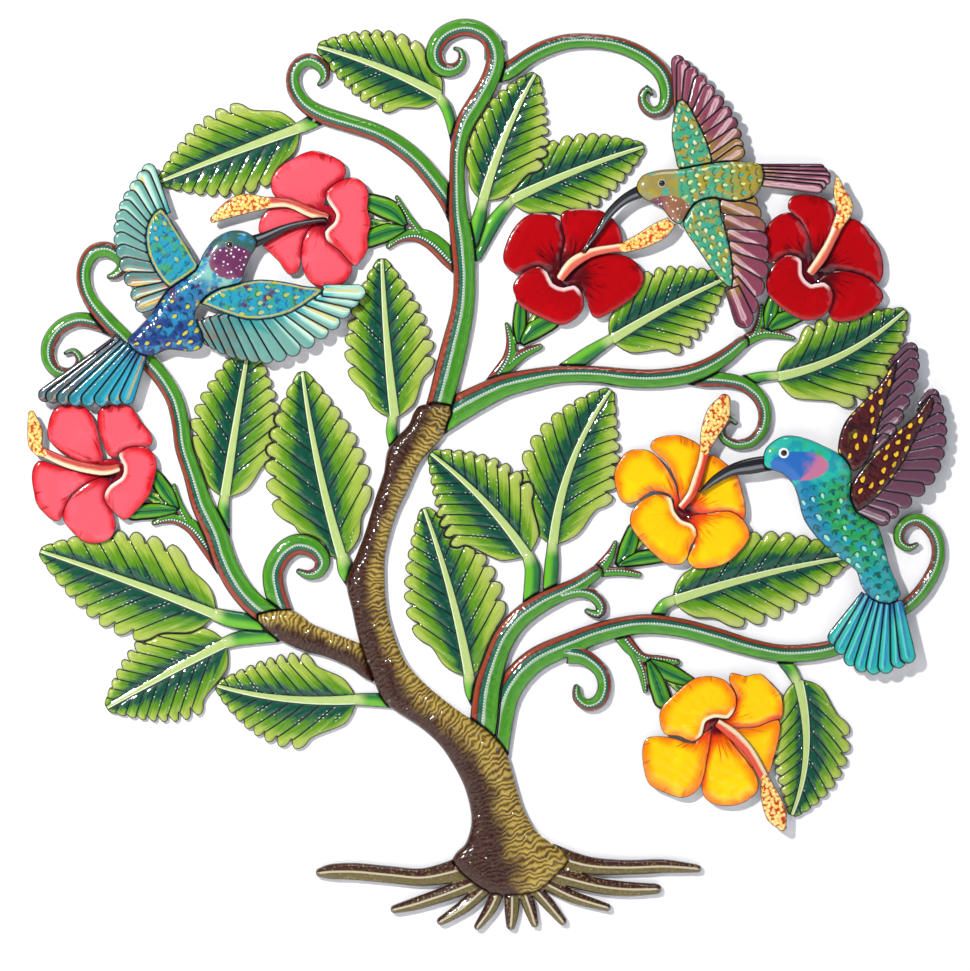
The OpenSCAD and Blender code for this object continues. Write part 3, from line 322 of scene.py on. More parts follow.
# Trunk from the foot up, and limb from the trunk out
TRUNK_LINE = [
    [4, -14, 70], [0, 20, 90], [-8, 45, 62], [-16, 72, 50], [-24, 96, 48], [-40, 120, 46],
    [-64, 142, 42], [-88, 162, 42], [-104, 186, 40], [-118, 212, 38], [-130, 245, 36],
    [-136, 277, 36], [-130, 305, 30], [-123, 330, 27], [-114, 354, 27], [-104, 380, 30],
    [-93, 402, 36], [-80, 424, 36], [-71, 441, 30],
]
LIMB_LINE = [[-124, 196, 30], [-150, 212, 30], [-176, 222, 28], [-204, 233, 30], [-236, 240, 24]]
# Birds: body from the bill to the tail, bill, and tail as feather roots, tips and count
SPINES = [
    [
        [-236, 593, 14], [-256, 583, 34], [-270, 566, 44], [-284, 545, 46], [-304, 524, 48],
        [-326, 510, 38], [-348, 499, 20],
    ],
    [
        [114, 642, 14], [136, 643, 32], [158, 642, 42], [184, 649, 36], [208, 650, 36],
        [236, 655, 20],
    ],
    [
        [234, 391, 16], [256, 392, 36], [280, 386, 46], [292, 360, 52], [302, 330, 54],
        [320, 302, 50], [336, 280, 32], [346, 258, 24],
    ],
]
BEAKS = [
    [[-252, 589, 14], [-232, 596, 11], [-210, 606, 7], [-190, 611, 5], [-174, 613, 3]],
    [[128, 643, 14], [107, 634, 10], [91, 620, 8], [79, 602, 6], [67, 585, 3]],
    [[246, 389, 14], [222, 385, 15], [204, 381, 11], [188, 372, 8], [175, 361, 3]],
]
TAILS = [
    [
        [[-366, 503], [-354, 497], [-342, 488]],
        [[-433, 451], [-412, 448], [-385, 447], [-357, 449]], 8,
    ],
    [[[222, 662], [224, 656], [222, 649]], [[286, 661], [292, 652], [284, 642]], 6],
    [[[328, 266], [343, 262], [358, 260]], [[300, 226], [318, 204], [343, 199], [367, 209]], 8],
]
EYES = [[-262, 590], [139, 647], [252, 397]]
# Throat patches: middle and half sizes
THROAT_PATCHES = [[-260, 574, 20, 15], [144, 623, 20, 12], [266, 385, 26, 13]]
# Wings: bird number, feather roots, tips and count, and the middle of the coverts
WINGS = {
    "bird_1_wing_left": (
        0,
        [
            [[-322, 618], [-333, 604], [-334, 586], [-326, 566], [-312, 546]],
            [[-337, 659], [-354, 634], [-363, 606], [-358, 572], [-343, 534]], 13,
        ],
        [[-292, 564, 22], [-312, 585, 44], [-330, 614, 16]],
    ),
    "bird_1_wing_right": (
        0,
        [
            [[-296, 518], [-272, 526], [-240, 526], [-205, 533], [-176, 548]],
            [[-280, 503], [-254, 491], [-216, 489], [-172, 514], [-143, 546]], 15,
        ],
        [[-290, 540, 20], [-240, 540, 36], [-180, 549, 8]],
    ),
    "bird_2_wing_up": (
        1,
        [
            [[155, 714], [166, 708], [177, 690], [188, 662]],
            [[154, 760], [177, 739], [202, 706], [210, 676]], 11,
        ],
        [[172, 664, 30], [164, 690, 28], [158, 724, 8]],
    ),
    "bird_2_wing_down": (
        1,
        [
            [[190, 640], [198, 602], [202, 574], [204, 550]],
            [[219, 628], [228, 598], [228, 562], [215, 522]], 9,
        ],
        [[174, 640, 30], [184, 604, 36], [200, 556, 12]],
    ),
    "bird_3_wing_left": (
        2,
        [
            [[352, 478], [348, 452], [342, 425], [334, 396]],
            [[370, 493], [371, 472], [361, 440], [346, 408]], 9,
        ],
        [[316, 388, 24], [328, 425, 30], [353, 480, 8]],
    ),
    "bird_3_wing_right": (
        2,
        [
            [[380, 438], [370, 408], [350, 376], [318, 346]],
            [[390, 450], [397, 418], [386, 374], [344, 336]], 13,
        ],
        [[314, 350, 26], [345, 390, 30], [384, 442, 12]],
    ),
}
# Wings whose innermost feather comes first
INNER_FIRST = ('bird_1_wing_right', 'bird_2_wing_down')


# ---- settings ----


def length(name, text, default, low, high):
    return bpy.props.FloatProperty(name=name, description=text, default=default, min=low, max=high,
                                   subtype="DISTANCE", unit="LENGTH")


def tint(name, text, default):
    return bpy.props.FloatVectorProperty(name=name, description=text, default=default,
                                         min=0.0, max=1.0, size=3, subtype="COLOR")


class PLAQUE_PG_sizes(bpy.types.PropertyGroup):
    gap: length("Mesh gap", "Distance between the points of a formed sheet", 0.0017, 0.001, 0.004)
    sheet: length("Sheet", "Thickness of the sheet steel", 0.0012, 0.0008, 0.002)
    rim: length("Rim", "Depth of a formed piece at its edge", 0.0018, 0.001, 0.003)
    vine_rise: length("Vine rise", "Depth of a vine at its middle", 0.0066, 0.004, 0.007)
    leaf_rise: length("Leaf rise", "Depth of a leaf's face", 0.0044, 0.003, 0.005)
    bead: length("Bead", "Radius of the beads stamped along a vine", 0.00075, 0.0004, 0.001)
    bead_pitch: length("Bead pitch", "Distance from one bead to the next", 0.0027, 0.002, 0.004)
    hammer: length("Hammer marks", "Depth of the hammer marks in the faces", 0.00022, 0.0, 0.0005)


class PLAQUE_PG_colours(bpy.types.PropertyGroup):
    vine_green: tint("Vine green", "Bright side of a vine", (0.062, 0.26, 0.011))
    vine_teal: tint("Vine teal", "Dark stripe of a vine", (0.006, 0.075, 0.045))
    vine_rust: tint("Vine rust", "Red edge of a vine", (0.27, 0.030, 0.010))
    leaf_pale: tint("Leaf pale", "Edge and midrib of a leaf", (0.34, 0.45, 0.055))
    leaf_bright: tint("Leaf bright", "Middle green of a leaf", (0.092, 0.25, 0.006))
    leaf_deep: tint("Leaf deep", "Heart of a leaf", (0.002, 0.065, 0.036))
    bark_gold: tint("Bark gold", "Lit side of the trunk", (0.31, 0.195, 0.025))
    bark_dark: tint("Bark dark", "Shaded side of the trunk", (0.032, 0.006, 0.003))
    pink: tint("Pink", "Pink petals", (0.90, 0.10, 0.135))
    pink_edge: tint("Pink edge", "Edges of the pink petals", (0.62, 0.006, 0.012))
    red: tint("Red", "Red petals", (0.41, 0.0, 0.002))
    red_shade: tint("Red shade", "Shading of the red petals", (0.045, 0.0, 0.002))
    yellow: tint("Yellow", "Yellow petals", (1.0, 0.56, 0.002))
    yellow_edge: tint("Yellow edge", "Edges of the yellow petals", (0.90, 0.20, 0.001))
    throat: tint("Throat", "Heart of the flowers", (0.10, 0.001, 0.006))
    cream: tint("Cream", "Pale rims and stamens", (0.83, 0.66, 0.42))
    # Ink is also the colour of the painted shadow lines where one part of a piece lies over another
    ink: tint("Ink", "Outlines and chased lines", (0.006, 0.006, 0.012))
    primer: tint("Primer", "Back of the sheet", (0.030, 0.028, 0.030))


def mm(value):
    return value * 1000.0


def sizes():
    return bpy.context.scene.plaque_sizes


def colours():
    return bpy.context.scene.plaque_colours


# ---- curves ----


def curve(points, gap=1.5):
    """Smooth open curve through points of any width, at close gaps."""
    p = np.array(points, float)
    out = []
    for i in range(len(p) - 1):
        a, b, c, d = p[max(i - 1, 0)], p[i], p[i + 1], p[min(i + 2, len(p) - 1)]
        n = max(2, math.ceil(np.linalg.norm((c - b)[:2]) / gap))
        t = (np.arange(n) / n)[:, None]
        out.append(0.5 * (2 * b + (c - a) * t + (2 * a - 5 * b + 4 * c - d) * t**2
                          + (3 * b - a - 3 * c + d) * t**3))
    out.append(p[-1:])
    return np.vstack(out)


def point_along(points, t):
    c = curve(points, 2.0)
    return c[min(len(c) - 1, int(round(t * (len(c) - 1))))]


class Line:
    """A centre line with a width, which gives a point its place along and across."""

    def __init__(self, points, gap=1.5):
        c = curve(points, gap)
        self.xz = c[:, :2]
        self.width = c[:, 2] if c.shape[1] > 2 else np.full(len(c), 8.0)
        step = np.linalg.norm(np.diff(self.xz, axis=0), axis=1)
        self.run = np.concatenate([[0.0], np.cumsum(step)])
        self.length = self.run[-1]

    def locate(self, p):
        """(mm along, mm to the left, half width, mm away) of layout points."""
        a, b = self.xz[:-1], self.xz[1:]
        d = b - a
        size = (d**2).sum(1)
        along = np.empty(len(p))
        left = np.empty(len(p))
        half = np.empty(len(p))
        away = np.empty(len(p))
        for start in range(0, len(p), 2000):
            q = p[start:start + 2000]
            r = q[:, None, :] - a[None]
            t = np.clip((r * d[None]).sum(2) / size, 0, 1)
            gap = r - t[:, :, None] * d[None]
            dist = np.sqrt((gap**2).sum(2))
            k = dist.argmin(1)
            i = np.arange(len(q))
            t = t[i, k]
            cross = d[k, 0] * r[i, k, 1] - d[k, 1] * r[i, k, 0]
            s = slice(start, start + len(q))
            along[s] = self.run[k] + t * np.sqrt(size[k])
            left[s] = np.sign(cross) * dist[i, k]
            half[s] = (self.width[k] * (1 - t) + self.width[k + 1] * t) / 2
            away[s] = dist[i, k]
        return along, left, half, away


def bezier(leaf, n=60):
    a, b, c = (np.array(p, float) for p in leaf[0])
    t = np.linspace(0, 1, n)[:, None]
    return a * (1 - t)**2 + b * 2 * t * (1 - t) + c * t**2


def soft(x, low, high):
    t = np.clip((x - low) / (high - low), 0, 1)
    return t * t * (3 - 2 * t)


def dome(t):
    """Rounded rise from 0 at an edge to 1 at t = 1."""
    t = np.clip(t, 0, 1)
    return np.sqrt(np.clip(1 - (1 - t)**2, 0, 1))


def wobble(x, z, size):
    """Even hammer marks about size mm across, from -1 to 1."""
    k = 2 * math.pi / size
    a = np.sin(k * x + 1.7 * np.sin(k * 0.31 * z + 1.0))
    b = np.sin(k * z * 1.1 + 1.9 * np.sin(k * 0.27 * x + 2.0))
    return a * b


# ---- sheets ----


def cad_triangles(node):
    """Front faces of a node: layout corners [n, 3, 2] and depth from the wall in mm."""
    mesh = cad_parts[node].data
    mesh.calc_loop_triangles()
    co = np.empty(len(mesh.vertices) * 3, np.float32)
    mesh.vertices.foreach_get("co", co)
    co = co.reshape(-1, 3).astype(float) * 1000.0
    tri = np.empty(len(mesh.loop_triangles) * 3, np.int32)
    mesh.loop_triangles.foreach_get("vertices", tri)
    p = co[tri.reshape(-1, 3)]
    n = np.cross(p[:, 1] - p[:, 0], p[:, 2] - p[:, 0])
    size = np.linalg.norm(n, axis=1)
    front = (n[:, 1] < -0.99 * size) & (size > 1e-6)
    p = p[front]
    return p[:, :, [0, 2]] + np.array(HANG), -p[:, :, 1].mean(1)


def border_edges(tris, part):
    """Edges round each part as {(point, point): (part on the left, part on the right)}."""
    key = np.round(tris * SNAP).astype(int)
    left = {}
    for t in range(len(tris)):
        k = [tuple(v) for v in key[t]]
        for i in range(3):
            e = (k[i], k[(i + 1) % 3])
            if e[0] != e[1]:
                left[e] = part[t]
    edges = {}
    for (a, b), p in left.items():
        other = left.get((b, a), OUTSIDE)
        if other != p and (b, a) not in edges:
            edges[(a, b)] = (p, other)
    return edges


def smooth_chain(points, gap, closed):
    """Curve through the points of an outline that keeps its straight runs straight."""
    p = np.array(points, float)
    n = len(p)
    out = []
    last = n if closed else n - 1
    for i in range(last):
        b, c = p[i], p[(i + 1) % n]
        a = p[i - 1] if closed or i > 0 else b
        d = p[(i + 2) % n] if closed or i + 2 < n else c
        size = np.linalg.norm(c - b)
        ta, tb = c - a, d - b
        ta = ta / max(np.linalg.norm(ta), 1e-9) * size
        tb = tb / max(np.linalg.norm(tb), 1e-9) * size
        m = max(1, int(round(size / gap)))
        t = (np.arange(m) / m)[:, None]
        out.append(b * (2 * t**3 - 3 * t**2 + 1) + ta * (t**3 - 2 * t**2 + t)
                   + c * (3 * t**2 - 2 * t**3) + tb * (t**3 - t**2))
    if not closed:
        out.append(p[-1:])
    return np.vstack(out)


def outline_chains(edges, gap):
    """The borders as smooth curves between corners, each with a flag for a closed one."""
    turn = math.cos(math.radians(48))
    near = {}
    sides = {}
    for (a, b), pair in edges.items():
        near.setdefault(a, []).append(b)
        near.setdefault(b, []).append(a)
        sides[(a, b)] = sides[(b, a)] = tuple(sorted(pair))

    def sharp(v):
        if len(near[v]) != 2:
            return True
        a, b = near[v]
        if sides[(a, v)] != sides[(v, b)]:
            return True
        u, w = np.subtract(v, a).astype(float), np.subtract(b, v).astype(float)
        return float(u @ w) < turn * np.linalg.norm(u) * np.linalg.norm(w)

    corner = {v: sharp(v) for v in near}
    used = set()
    chains = []

    def walk(a, b):
        run = [a, b]
        used.add((a, b))
        used.add((b, a))
        while not corner[run[-1]]:
            nxt = [v for v in near[run[-1]] if (run[-1], v) not in used]
            if not nxt:
                break
            used.add((run[-1], nxt[0]))
            used.add((nxt[0], run[-1]))
            run.append(nxt[0])
        return run

    for v in sorted(near):
        if corner[v]:
            for w in near[v]:
                if (v, w) not in used:
                    chains.append((walk(v, w), False))
    for a, b in sorted(edges):
        if (a, b) not in used:
            run = walk(a, b)
            chains.append((run[:-1] if run[0] == run[-1] else run, run[0] == run[-1]))
    return [(smooth_chain(np.array(c) / SNAP, gap, closed), closed) for c, closed in chains]


def fill_grid(tris, part, gap):
    """Even grid of layout points inside the triangles, and the part of each."""
    low = tris.reshape(-1, 2).min(0)
    high = tris.reshape(-1, 2).max(0)
    dz = gap * math.sqrt(3) / 2
    nx, nz = (int((high[0] - low[0]) / gap) + 2, int((high[1] - low[1]) / dz) + 2)
    x = low[0] + gap * (np.arange(nx)[None, :] + 0.5 * (np.arange(nz)[:, None] % 2))
    z = low[1] + dz * np.arange(nz)[:, None] + 0 * x
    owner = np.full((nz, nx), OUTSIDE)
    for t in range(len(tris)):
        (ax, az), (bx, bz), (cx, cz) = tris[t]
        i0 = max(0, int((min(az, bz, cz) - low[1]) / dz))
        i1 = min(nz, int((max(az, bz, cz) - low[1]) / dz) + 2)
        j0 = max(0, int((min(ax, bx, cx) - low[0]) / gap) - 1)
        j1 = min(nx, int((max(ax, bx, cx) - low[0]) / gap) + 2)
        px, pz = x[i0:i1, j0:j1], z[i0:i1, j0:j1]
        inside = (
            ((bx - ax) * (pz - az) - (bz - az) * (px - ax) >= 0)
            & ((cx - bx) * (pz - bz) - (cz - bz) * (px - bx) >= 0)
            & ((ax - cx) * (pz - cz) - (az - cz) * (px - cx) >= 0)
        )
        owner[i0:i1, j0:j1][inside] = part[t]
    ok = owner >= 0
    return np.stack([x[ok], z[ok]], 1), owner[ok]


def tree_of(points):
    tree = kdtree.KDTree(len(points))
    for i, p in enumerate(points):
        tree.insert((p[0], p[1], 0.0), i)
    tree.balance()
    return tree


def distance_to(points, tree):
    return np.array([tree.find((p[0], p[1], 0.0))[2] for p in points])


def part_at(p, tris, part):
    a, b, c = tris[:, 0], tris[:, 1], tris[:, 2]

    def turn(u, v):
        return (v[:, 0] - u[:, 0]) * (p[1] - u[:, 1]) - (v[:, 1] - u[:, 1]) * (p[0] - u[:, 0])

    inside = (turn(a, b) >= 0) & (turn(b, c) >= 0) & (turn(c, a) >= 0)
    return int(part[inside.argmax()]) if inside.any() else OUTSIDE


class Sheet:
    """Fine flat mesh of a node's front, split where one part of it lies over another."""

    def __init__(self, node, parts_of, gap):
        tris, depth = cad_triangles(node)
        part = parts_of(depth)
        self.tabs = (tris[part == TAB], depth[part == TAB])
        tris, part = tris[part >= 0], part[part >= 0]
        edges = border_edges(tris, part)
        points, lines, index = [], [], {}
        for chain, closed in outline_chains(edges, gap):
            ids = []
            for p in chain:
                k = (round(p[0] * 50), round(p[1] * 50))
                if k not in index:
                    index[k] = len(points)
                    points.append(p)
                ids.append(index[k])
            pairs = list(zip(ids, ids[1:] + ids[:1])) if closed else list(zip(ids, ids[1:]))
            lines += [(i, j) for i, j in pairs if i != j]
        border = np.array(points)
        grid, owner = fill_grid(tris, part, gap)
        clear = distance_to(grid, tree_of(border)) > 0.6 * gap
        grid, owner = grid[clear], owner[clear]
        flat = np.vstack([border, grid])
        verts, found, faces, from_vert, from_edge, _ = geometry.delaunay_2d_cdt(
            [Vector(p) for p in flat], lines, [], 0, 1e-5)
        self.xz = np.array([v[:] for v in verts])
        known = np.full(len(self.xz), UNKNOWN)
        for i, sources in enumerate(from_vert):
            for s in sources:
                if s >= len(border):
                    known[i] = owner[s - len(border)]
        cut = {tuple(sorted(e)) for e, src in zip(found, from_edge) if len(src)}
        tri = np.array([f if self._turns_left(f) else f[::-1] for f in faces])
        label = self._label(tri, cut, known, tris, part)
        keep = label >= 0
        self.tri, self.part = tri[keep], label[keep]
        self._edges()
        self._measure()

    def _turns_left(self, f):
        (ax, az), (bx, bz), (cx, cz) = self.xz[f[0]], self.xz[f[1]], self.xz[f[2]]
        return (bx - ax) * (cz - az) - (bz - az) * (cx - ax) > 0

    def _label(self, tri, cut, known, tris, part):
        by_edge = {}
        for t, f in enumerate(tri):
            for i in range(3):
                e = tuple(sorted((int(f[i]), int(f[(i + 1) % 3]))))
                by_edge.setdefault(e, []).append(t)
        near = [[] for _ in tri]
        for e, ts in by_edge.items():
            if len(ts) == 2 and e not in cut:
                near[ts[0]].append(ts[1])
                near[ts[1]].append(ts[0])
        label = np.full(len(tri), UNKNOWN)
        for seed in range(len(tri)):
            if label[seed] != UNKNOWN:
                continue
            group = [seed]
            label[seed] = WAITING
            for t in group:
                for u in near[t]:
                    if label[u] == UNKNOWN:
                        label[u] = WAITING
                        group.append(u)
            votes = known[tri[group]].ravel()
            votes = votes[votes >= 0]
            if len(votes):
                label[group] = np.bincount(votes).argmax()
            else:
                p = self.xz[tri[group]]
                size = np.abs(np.cross(p[:, 1] - p[:, 0], p[:, 2] - p[:, 0]))
                label[group] = part_at(p[size.argmax()].mean(0), tris, part)
        return label

    def _edges(self):
        """Border edges as rows of start, end, part on the left, part on the right."""
        left = {}
        for f, p in zip(self.tri, self.part):
            for i in range(3):
                left[(int(f[i]), int(f[(i + 1) % 3]))] = int(p)
        sides = [(a, b, p, left.get((b, a), OUTSIDE)) for (a, b), p in left.items()]
        self.border = [side for side in sides if side[2] != side[3]]

    def _measure(self):
        """One point for each vertex and part, with its distance to own and covered edges."""
        self.corner = {}
        for f, p in zip(self.tri, self.part):
            for v in f:
                self.corner.setdefault((int(v), int(p)), len(self.corner))
        keys = list(self.corner)
        self.vertex = np.array([k[0] for k in keys])
        self.layer = np.array([k[1] for k in keys])
        self.p = self.xz[self.vertex]
        self.edge = np.full(len(keys), FAR)
        self.cover = np.full(len(keys), FAR)
        for p in np.unique(self.layer):
            own, under = [], []
            for a, b, here, other in self.border:
                if here == p:
                    t = np.linspace(0, 1, 4)[:, None]
                    seg = self.xz[a] * (1 - t) + self.xz[b] * t
                    (own if other < here else under).append(seg)
            mine = self.layer == p
            for found, field in ((own, self.edge), (under, self.cover)):
                if found:
                    gap = distance_to(self.p[mine], tree_of(np.vstack(found)))
                    field[mine] = np.minimum(FAR, gap)


def in_frame(p, depth):
    """Layout points and their depths as frame coordinates in metres."""
    return np.stack([(p[:, 0] - HANG[0]), -np.asarray(depth), (p[:, 1] - HANG[1])], 1) / 1000.0


def tab_faces(tris, top, thick, start):
    """Flat tab under the edge of a neighbour, as points and faces."""
    index, points, faces, left = {}, [], [], set()
    for t in tris:
        ids = []
        for v in t:
            k = tuple(np.round(v * SNAP).astype(int))
            if k not in index:
                index[k] = len(points)
                points.append(v)
            ids.append(index[k])
        if len(set(ids)) == 3:
            faces.append(ids)
            left |= {(ids[0], ids[1]), (ids[1], ids[2]), (ids[2], ids[0])}
    n = len(points)
    p = np.array(points)
    co = np.vstack([in_frame(p, np.full(n, top)), in_frame(p, np.full(n, top - thick))])
    out = [[start + i for i in f] for f in faces]
    out += [[start + n + i for i in reversed(f)] for f in faces]
    border = [(start + a, start + b) for a, b in left if (b, a) not in left]
    out += [[b, a, n + a, n + b] for a, b in border]
    return co, out


def linked(name, data):
    """New object in the scene."""
    obj = bpy.data.objects.new(name, data)
    bpy.context.scene.collection.objects.link(obj)
    return obj


def piece(name, points, faces, values, sharp, finish):
    """Smooth object with a number for each point under each name, and its sharp angle."""
    mesh = bpy.data.meshes.new(name)
    mesh.from_pydata(points.tolist(), [], faces)
    for key, value in values.items():
        field = mesh.attributes.new(key, "FLOAT", "POINT")
        field.data.foreach_set("value", value.astype(np.float32))
    mesh.polygons.foreach_set("use_smooth", np.ones(len(mesh.polygons), bool))
    mesh.set_sharp_from_angle(angle=math.radians(sharp))
    mesh.materials.append(finish)
    return linked(name, mesh)


def make_shell(node, sheet, depth, back, fields, finish, extra=()):
    """Shell of painted sheet in place of a node, with fields stored at its points."""
    name = node + "_sheet"
    thick = mm(sizes().sheet)
    n = len(sheet.p)
    flat_ids = np.unique(sheet.tri)
    place = {int(v): n + i for i, v in enumerate(flat_ids)}
    behind = np.full(len(sheet.xz), 1e9)
    np.minimum.at(behind, sheet.vertex, depth)
    behind = np.maximum(behind - thick, back)
    for a, b, _, other in sheet.border:
        if other == OUTSIDE:
            behind[a] = behind[b] = back
    co = [in_frame(sheet.p, depth), in_frame(sheet.xz[flat_ids], behind[flat_ids])]
    at = sheet.corner
    faces = [[at[(int(v), int(p))] for v in f] for f, p in zip(sheet.tri, sheet.part)]
    faces += [[place[int(v)] for v in f[::-1]] for f in sheet.tri]
    for a, b, here, other in sheet.border:
        if other == OUTSIDE:
            faces.append([at[(b, here)], at[(a, here)], place[a], place[b]])
        elif here > other:
            faces.append([at[(b, here)], at[(a, here)], at[(a, other)], at[(b, other)]])
    count = n + len(flat_ids)
    tabs, tab_depth = sheet.tabs
    if len(tabs):
        more, more_faces = tab_faces(tabs, float(tab_depth[0]), thick, count)
        co.append(more)
        faces += more_faces
        count += len(more)
    values = {"side": np.concatenate([np.zeros(n), np.ones(count - n)])}
    for key, field in {**fields, "edge": sheet.edge, "cover": sheet.cover}.items():
        values[key] = np.concatenate([field, np.zeros(count - n)])
    for points, more_faces, marks in extra:
        co.append(points)
        faces += [[count + i for i in f] for f in more_faces]
        count += len(points)
        for key in values:
            values[key] = np.concatenate([values[key], np.full(len(points), marks.get(key, 0.0))])
    obj = piece(name, np.vstack(co), faces, values, 42, finish)
    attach(obj, "root")
    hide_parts(node)


def turned(x, z, depth, profile, n=10):
    """Small turned form in front of the wall: profile is [radius, rise] from the rim in, in mm."""
    points, faces = [], []
    for r, rise in profile:
        for i in range(n):
            a = 2 * math.pi * i / n
            points.append((x + r * math.cos(a), z + r * math.sin(a), depth + rise))
    for k in range(len(profile) - 1):
        for i in range(n):
            j = (i + 1) % n
            faces.append([k * n + i, k * n + j, (k + 1) * n + j, (k + 1) * n + i])
    faces.append([(len(profile) - 1) * n + i for i in range(n)])
    faces.append([i for i in reversed(range(n))])
    p = np.array(points)
    return in_frame(p[:, :2], p[:, 2]), faces


def beads_along(line, offset, sheet, depth, skip=0.0):
    """Row of stamped beads beside a centre line, standing on the face."""
    s = sizes()
    r, pitch = mm(s.bead), mm(s.bead_pitch)
    tree = tree_of(sheet.p)
    out = []
    n = int((line.length - skip) / pitch)
    for k in range(n):
        run = skip + (k + 0.5) * pitch
        x = np.interp(run, line.run, line.xz[:, 0])
        z = np.interp(run, line.run, line.xz[:, 1])
        x2 = np.interp(run + 1, line.run, line.xz[:, 0])
        z2 = np.interp(run + 1, line.run, line.xz[:, 1])
        size = math.hypot(x2 - x, z2 - z) or 1.0
        half = np.interp(run, line.run, line.width) / 2
        if half < 3.0:
            continue
        x, z = x - (z2 - z) / size * offset * half, z + (x2 - x) / size * offset * half
        _, i, away = tree.find((x, z, 0.0))
        if away > 1.2 or sheet.edge[i] < 2.0:
            continue
        ball = turned(x, z, depth[i] - 0.35, [[r, 0], [0.9 * r, 0.5 * r], [0.45 * r, 0.95 * r]], 7)
        out.append((ball[0], ball[1], {"mark": 1.0, "edge": 5.0, "cover": FAR}))
    return out


# ---- painted finishes ----

BIRD_SLOTS = ("bird_blue", "bird_green", "bird_teal")
# Eye rings of each bird: radius in mm, and how pale they are
RING_RADIUS = (3.7, 3.7, 4.8)
RING_PALENESS = (0.25, 0.6, 1.0)


class Number:
    """A number that varies over a surface. Arithmetic on it adds Math nodes."""

    def __init__(self, paint, socket):
        self.paint = paint
        self.socket = socket

    def __add__(self, other):
        return self.paint.math("ADD", self, other)

    __radd__ = __add__

    def __sub__(self, other):
        return self.paint.math("SUBTRACT", self, other)

    def __rsub__(self, other):
        return self.paint.math("SUBTRACT", other, self)

    def __mul__(self, other):
        return self.paint.math("MULTIPLY", self, other)

    __rmul__ = __mul__

    def __truediv__(self, other):
        return self.paint.math("DIVIDE", self, other)

    def __rtruediv__(self, other):
        return self.paint.math("DIVIDE", other, self)

    def __abs__(self):
        return self.paint.math("ABSOLUTE", self)

    def __neg__(self):
        return self.paint.math("MULTIPLY", self, -1.0)


class Nodes:
    """The empty node tree of a material or world, and what is put in it."""

    def __init__(self, owner, output):
        owner.use_nodes = True
        self.tree = owner.node_tree
        self.tree.nodes.clear()
        self.out = self.tree.nodes.new(output)

    def node(self, kind, settings=None, inputs=None):
        n = self.tree.nodes.new(kind)
        for key, value in (settings or {}).items():
            setattr(n, key, value)
        for key, value in (inputs or {}).items():
            self.feed(n.inputs[key], value)
        return n

    def feed(self, socket, value):
        if isinstance(value, Number):
            value = value.socket
        if isinstance(value, bpy.types.NodeSocket):
            self.tree.links.new(value, socket)
        elif socket.type == "RGBA":
            socket.default_value = (*tuple(value)[:3], 1.0)
        else:
            socket.default_value = value

    def show(self, shader):
        """Sends a shader to the output."""
        self.feed(self.out.inputs[0], shader.outputs[0])


class Paint(Nodes):
    """A finish built from the fields that a piece carries."""

    def __init__(self, name):
        self.material = bpy.data.materials.new(name)
        super().__init__(self.material, "ShaderNodeOutputMaterial")
        self.fields = {}

    def math(self, operation, *values):
        n = self.node("ShaderNodeMath", {"operation": operation}, dict(enumerate(values)))
        return Number(self, n.outputs[0])

    def field(self, name):
        if name not in self.fields:
            n = self.node("ShaderNodeAttribute", {"attribute_name": name})
            self.fields[name] = Number(self, n.outputs["Fac"])
        return self.fields[name]

    def ease(self, x, low, high):
        """0 where x is at low or beyond, 1 at high or beyond, smooth between."""
        n = self.node("ShaderNodeMapRange", {"interpolation_type": "SMOOTHSTEP"},
                      {"Value": x, "From Min": low, "From Max": high})
        return Number(self, n.outputs["Result"])

    def fract(self, x):
        return self.math("FRACT", x)

    def sine(self, x):
        return self.math("SINE", x)

    def low(self, x, y):
        return self.math("MINIMUM", x, y)

    def high(self, x, y):
        return self.math("MAXIMUM", x, y)

    def mix(self, amount, a, b):
        n = self.node("ShaderNodeMix", {"data_type": "RGBA"}, {0: amount, 6: a, 7: b})
        return n.outputs[2]

    def shade(self, colour, amount):
        """The colour with its light scaled by a number."""
        n = self.node("ShaderNodeVectorMath", {"operation": "SCALE"}, {0: colour, "Scale": amount})
        return n.outputs[0]

    def spot(self, x, y, z=0.0):
        return self.node("ShaderNodeCombineXYZ", None, {0: x, 1: y, 2: z}).outputs[0]

    def place(self):
        """Position on the object in mm."""
        n = self.node("ShaderNodeTexCoord")
        return self.node("ShaderNodeVectorMath", {"operation": "SCALE"},
                         {0: n.outputs["Object"], "Scale": 1000.0}).outputs[0]

    def noise(self, vector, scale, detail=2.0):
        n = self.node("ShaderNodeTexNoise", None,
                      {"Vector": vector, "Scale": scale, "Detail": detail})
        return Number(self, n.outputs[0])

    def cells(self, vector, scale):
        """Distance from the middle of the nearest of many small cells."""
        n = self.node("ShaderNodeTexVoronoi", None, {"Vector": vector, "Scale": scale})
        return Number(self, n.outputs["Distance"])

    def finish(self, colour, relief=None, gloss=0.24, coat=0.85):
        """Enamel over the front, dark primer behind, with faint dust and brush marks."""
        c = colours()
        place = self.place()
        side = self.ease(self.field("side"), 0.15, 0.6)
        worn = self.noise(place, 0.09, 4.0)
        primer = self.mix(self.ease(worn, 0.5, 0.72), c.primer, (0.075, 0.055, 0.042))
        colour = self.mix(side, colour, primer)
        rough = gloss + 0.16 * self.noise(place, 0.35, 3.0) + 0.22 * side
        height = 0.35 * self.noise(place, 0.30, 3.0) + 0.05 * self.noise(place, 2.2, 2.0)
        if relief is not None:
            height = height + relief
        bump = self.node("ShaderNodeBump", None,
                         {"Strength": 0.55, "Distance": 0.0006, "Height": height})
        shader = self.node("ShaderNodeBsdfPrincipled", None, {
            "Base Color": colour, "Roughness": rough, "Normal": bump.outputs[0],
            "Coat Weight": coat, "Coat Roughness": 0.06, "Specular IOR Level": 0.12})
        self.show(shader)
        return self.material


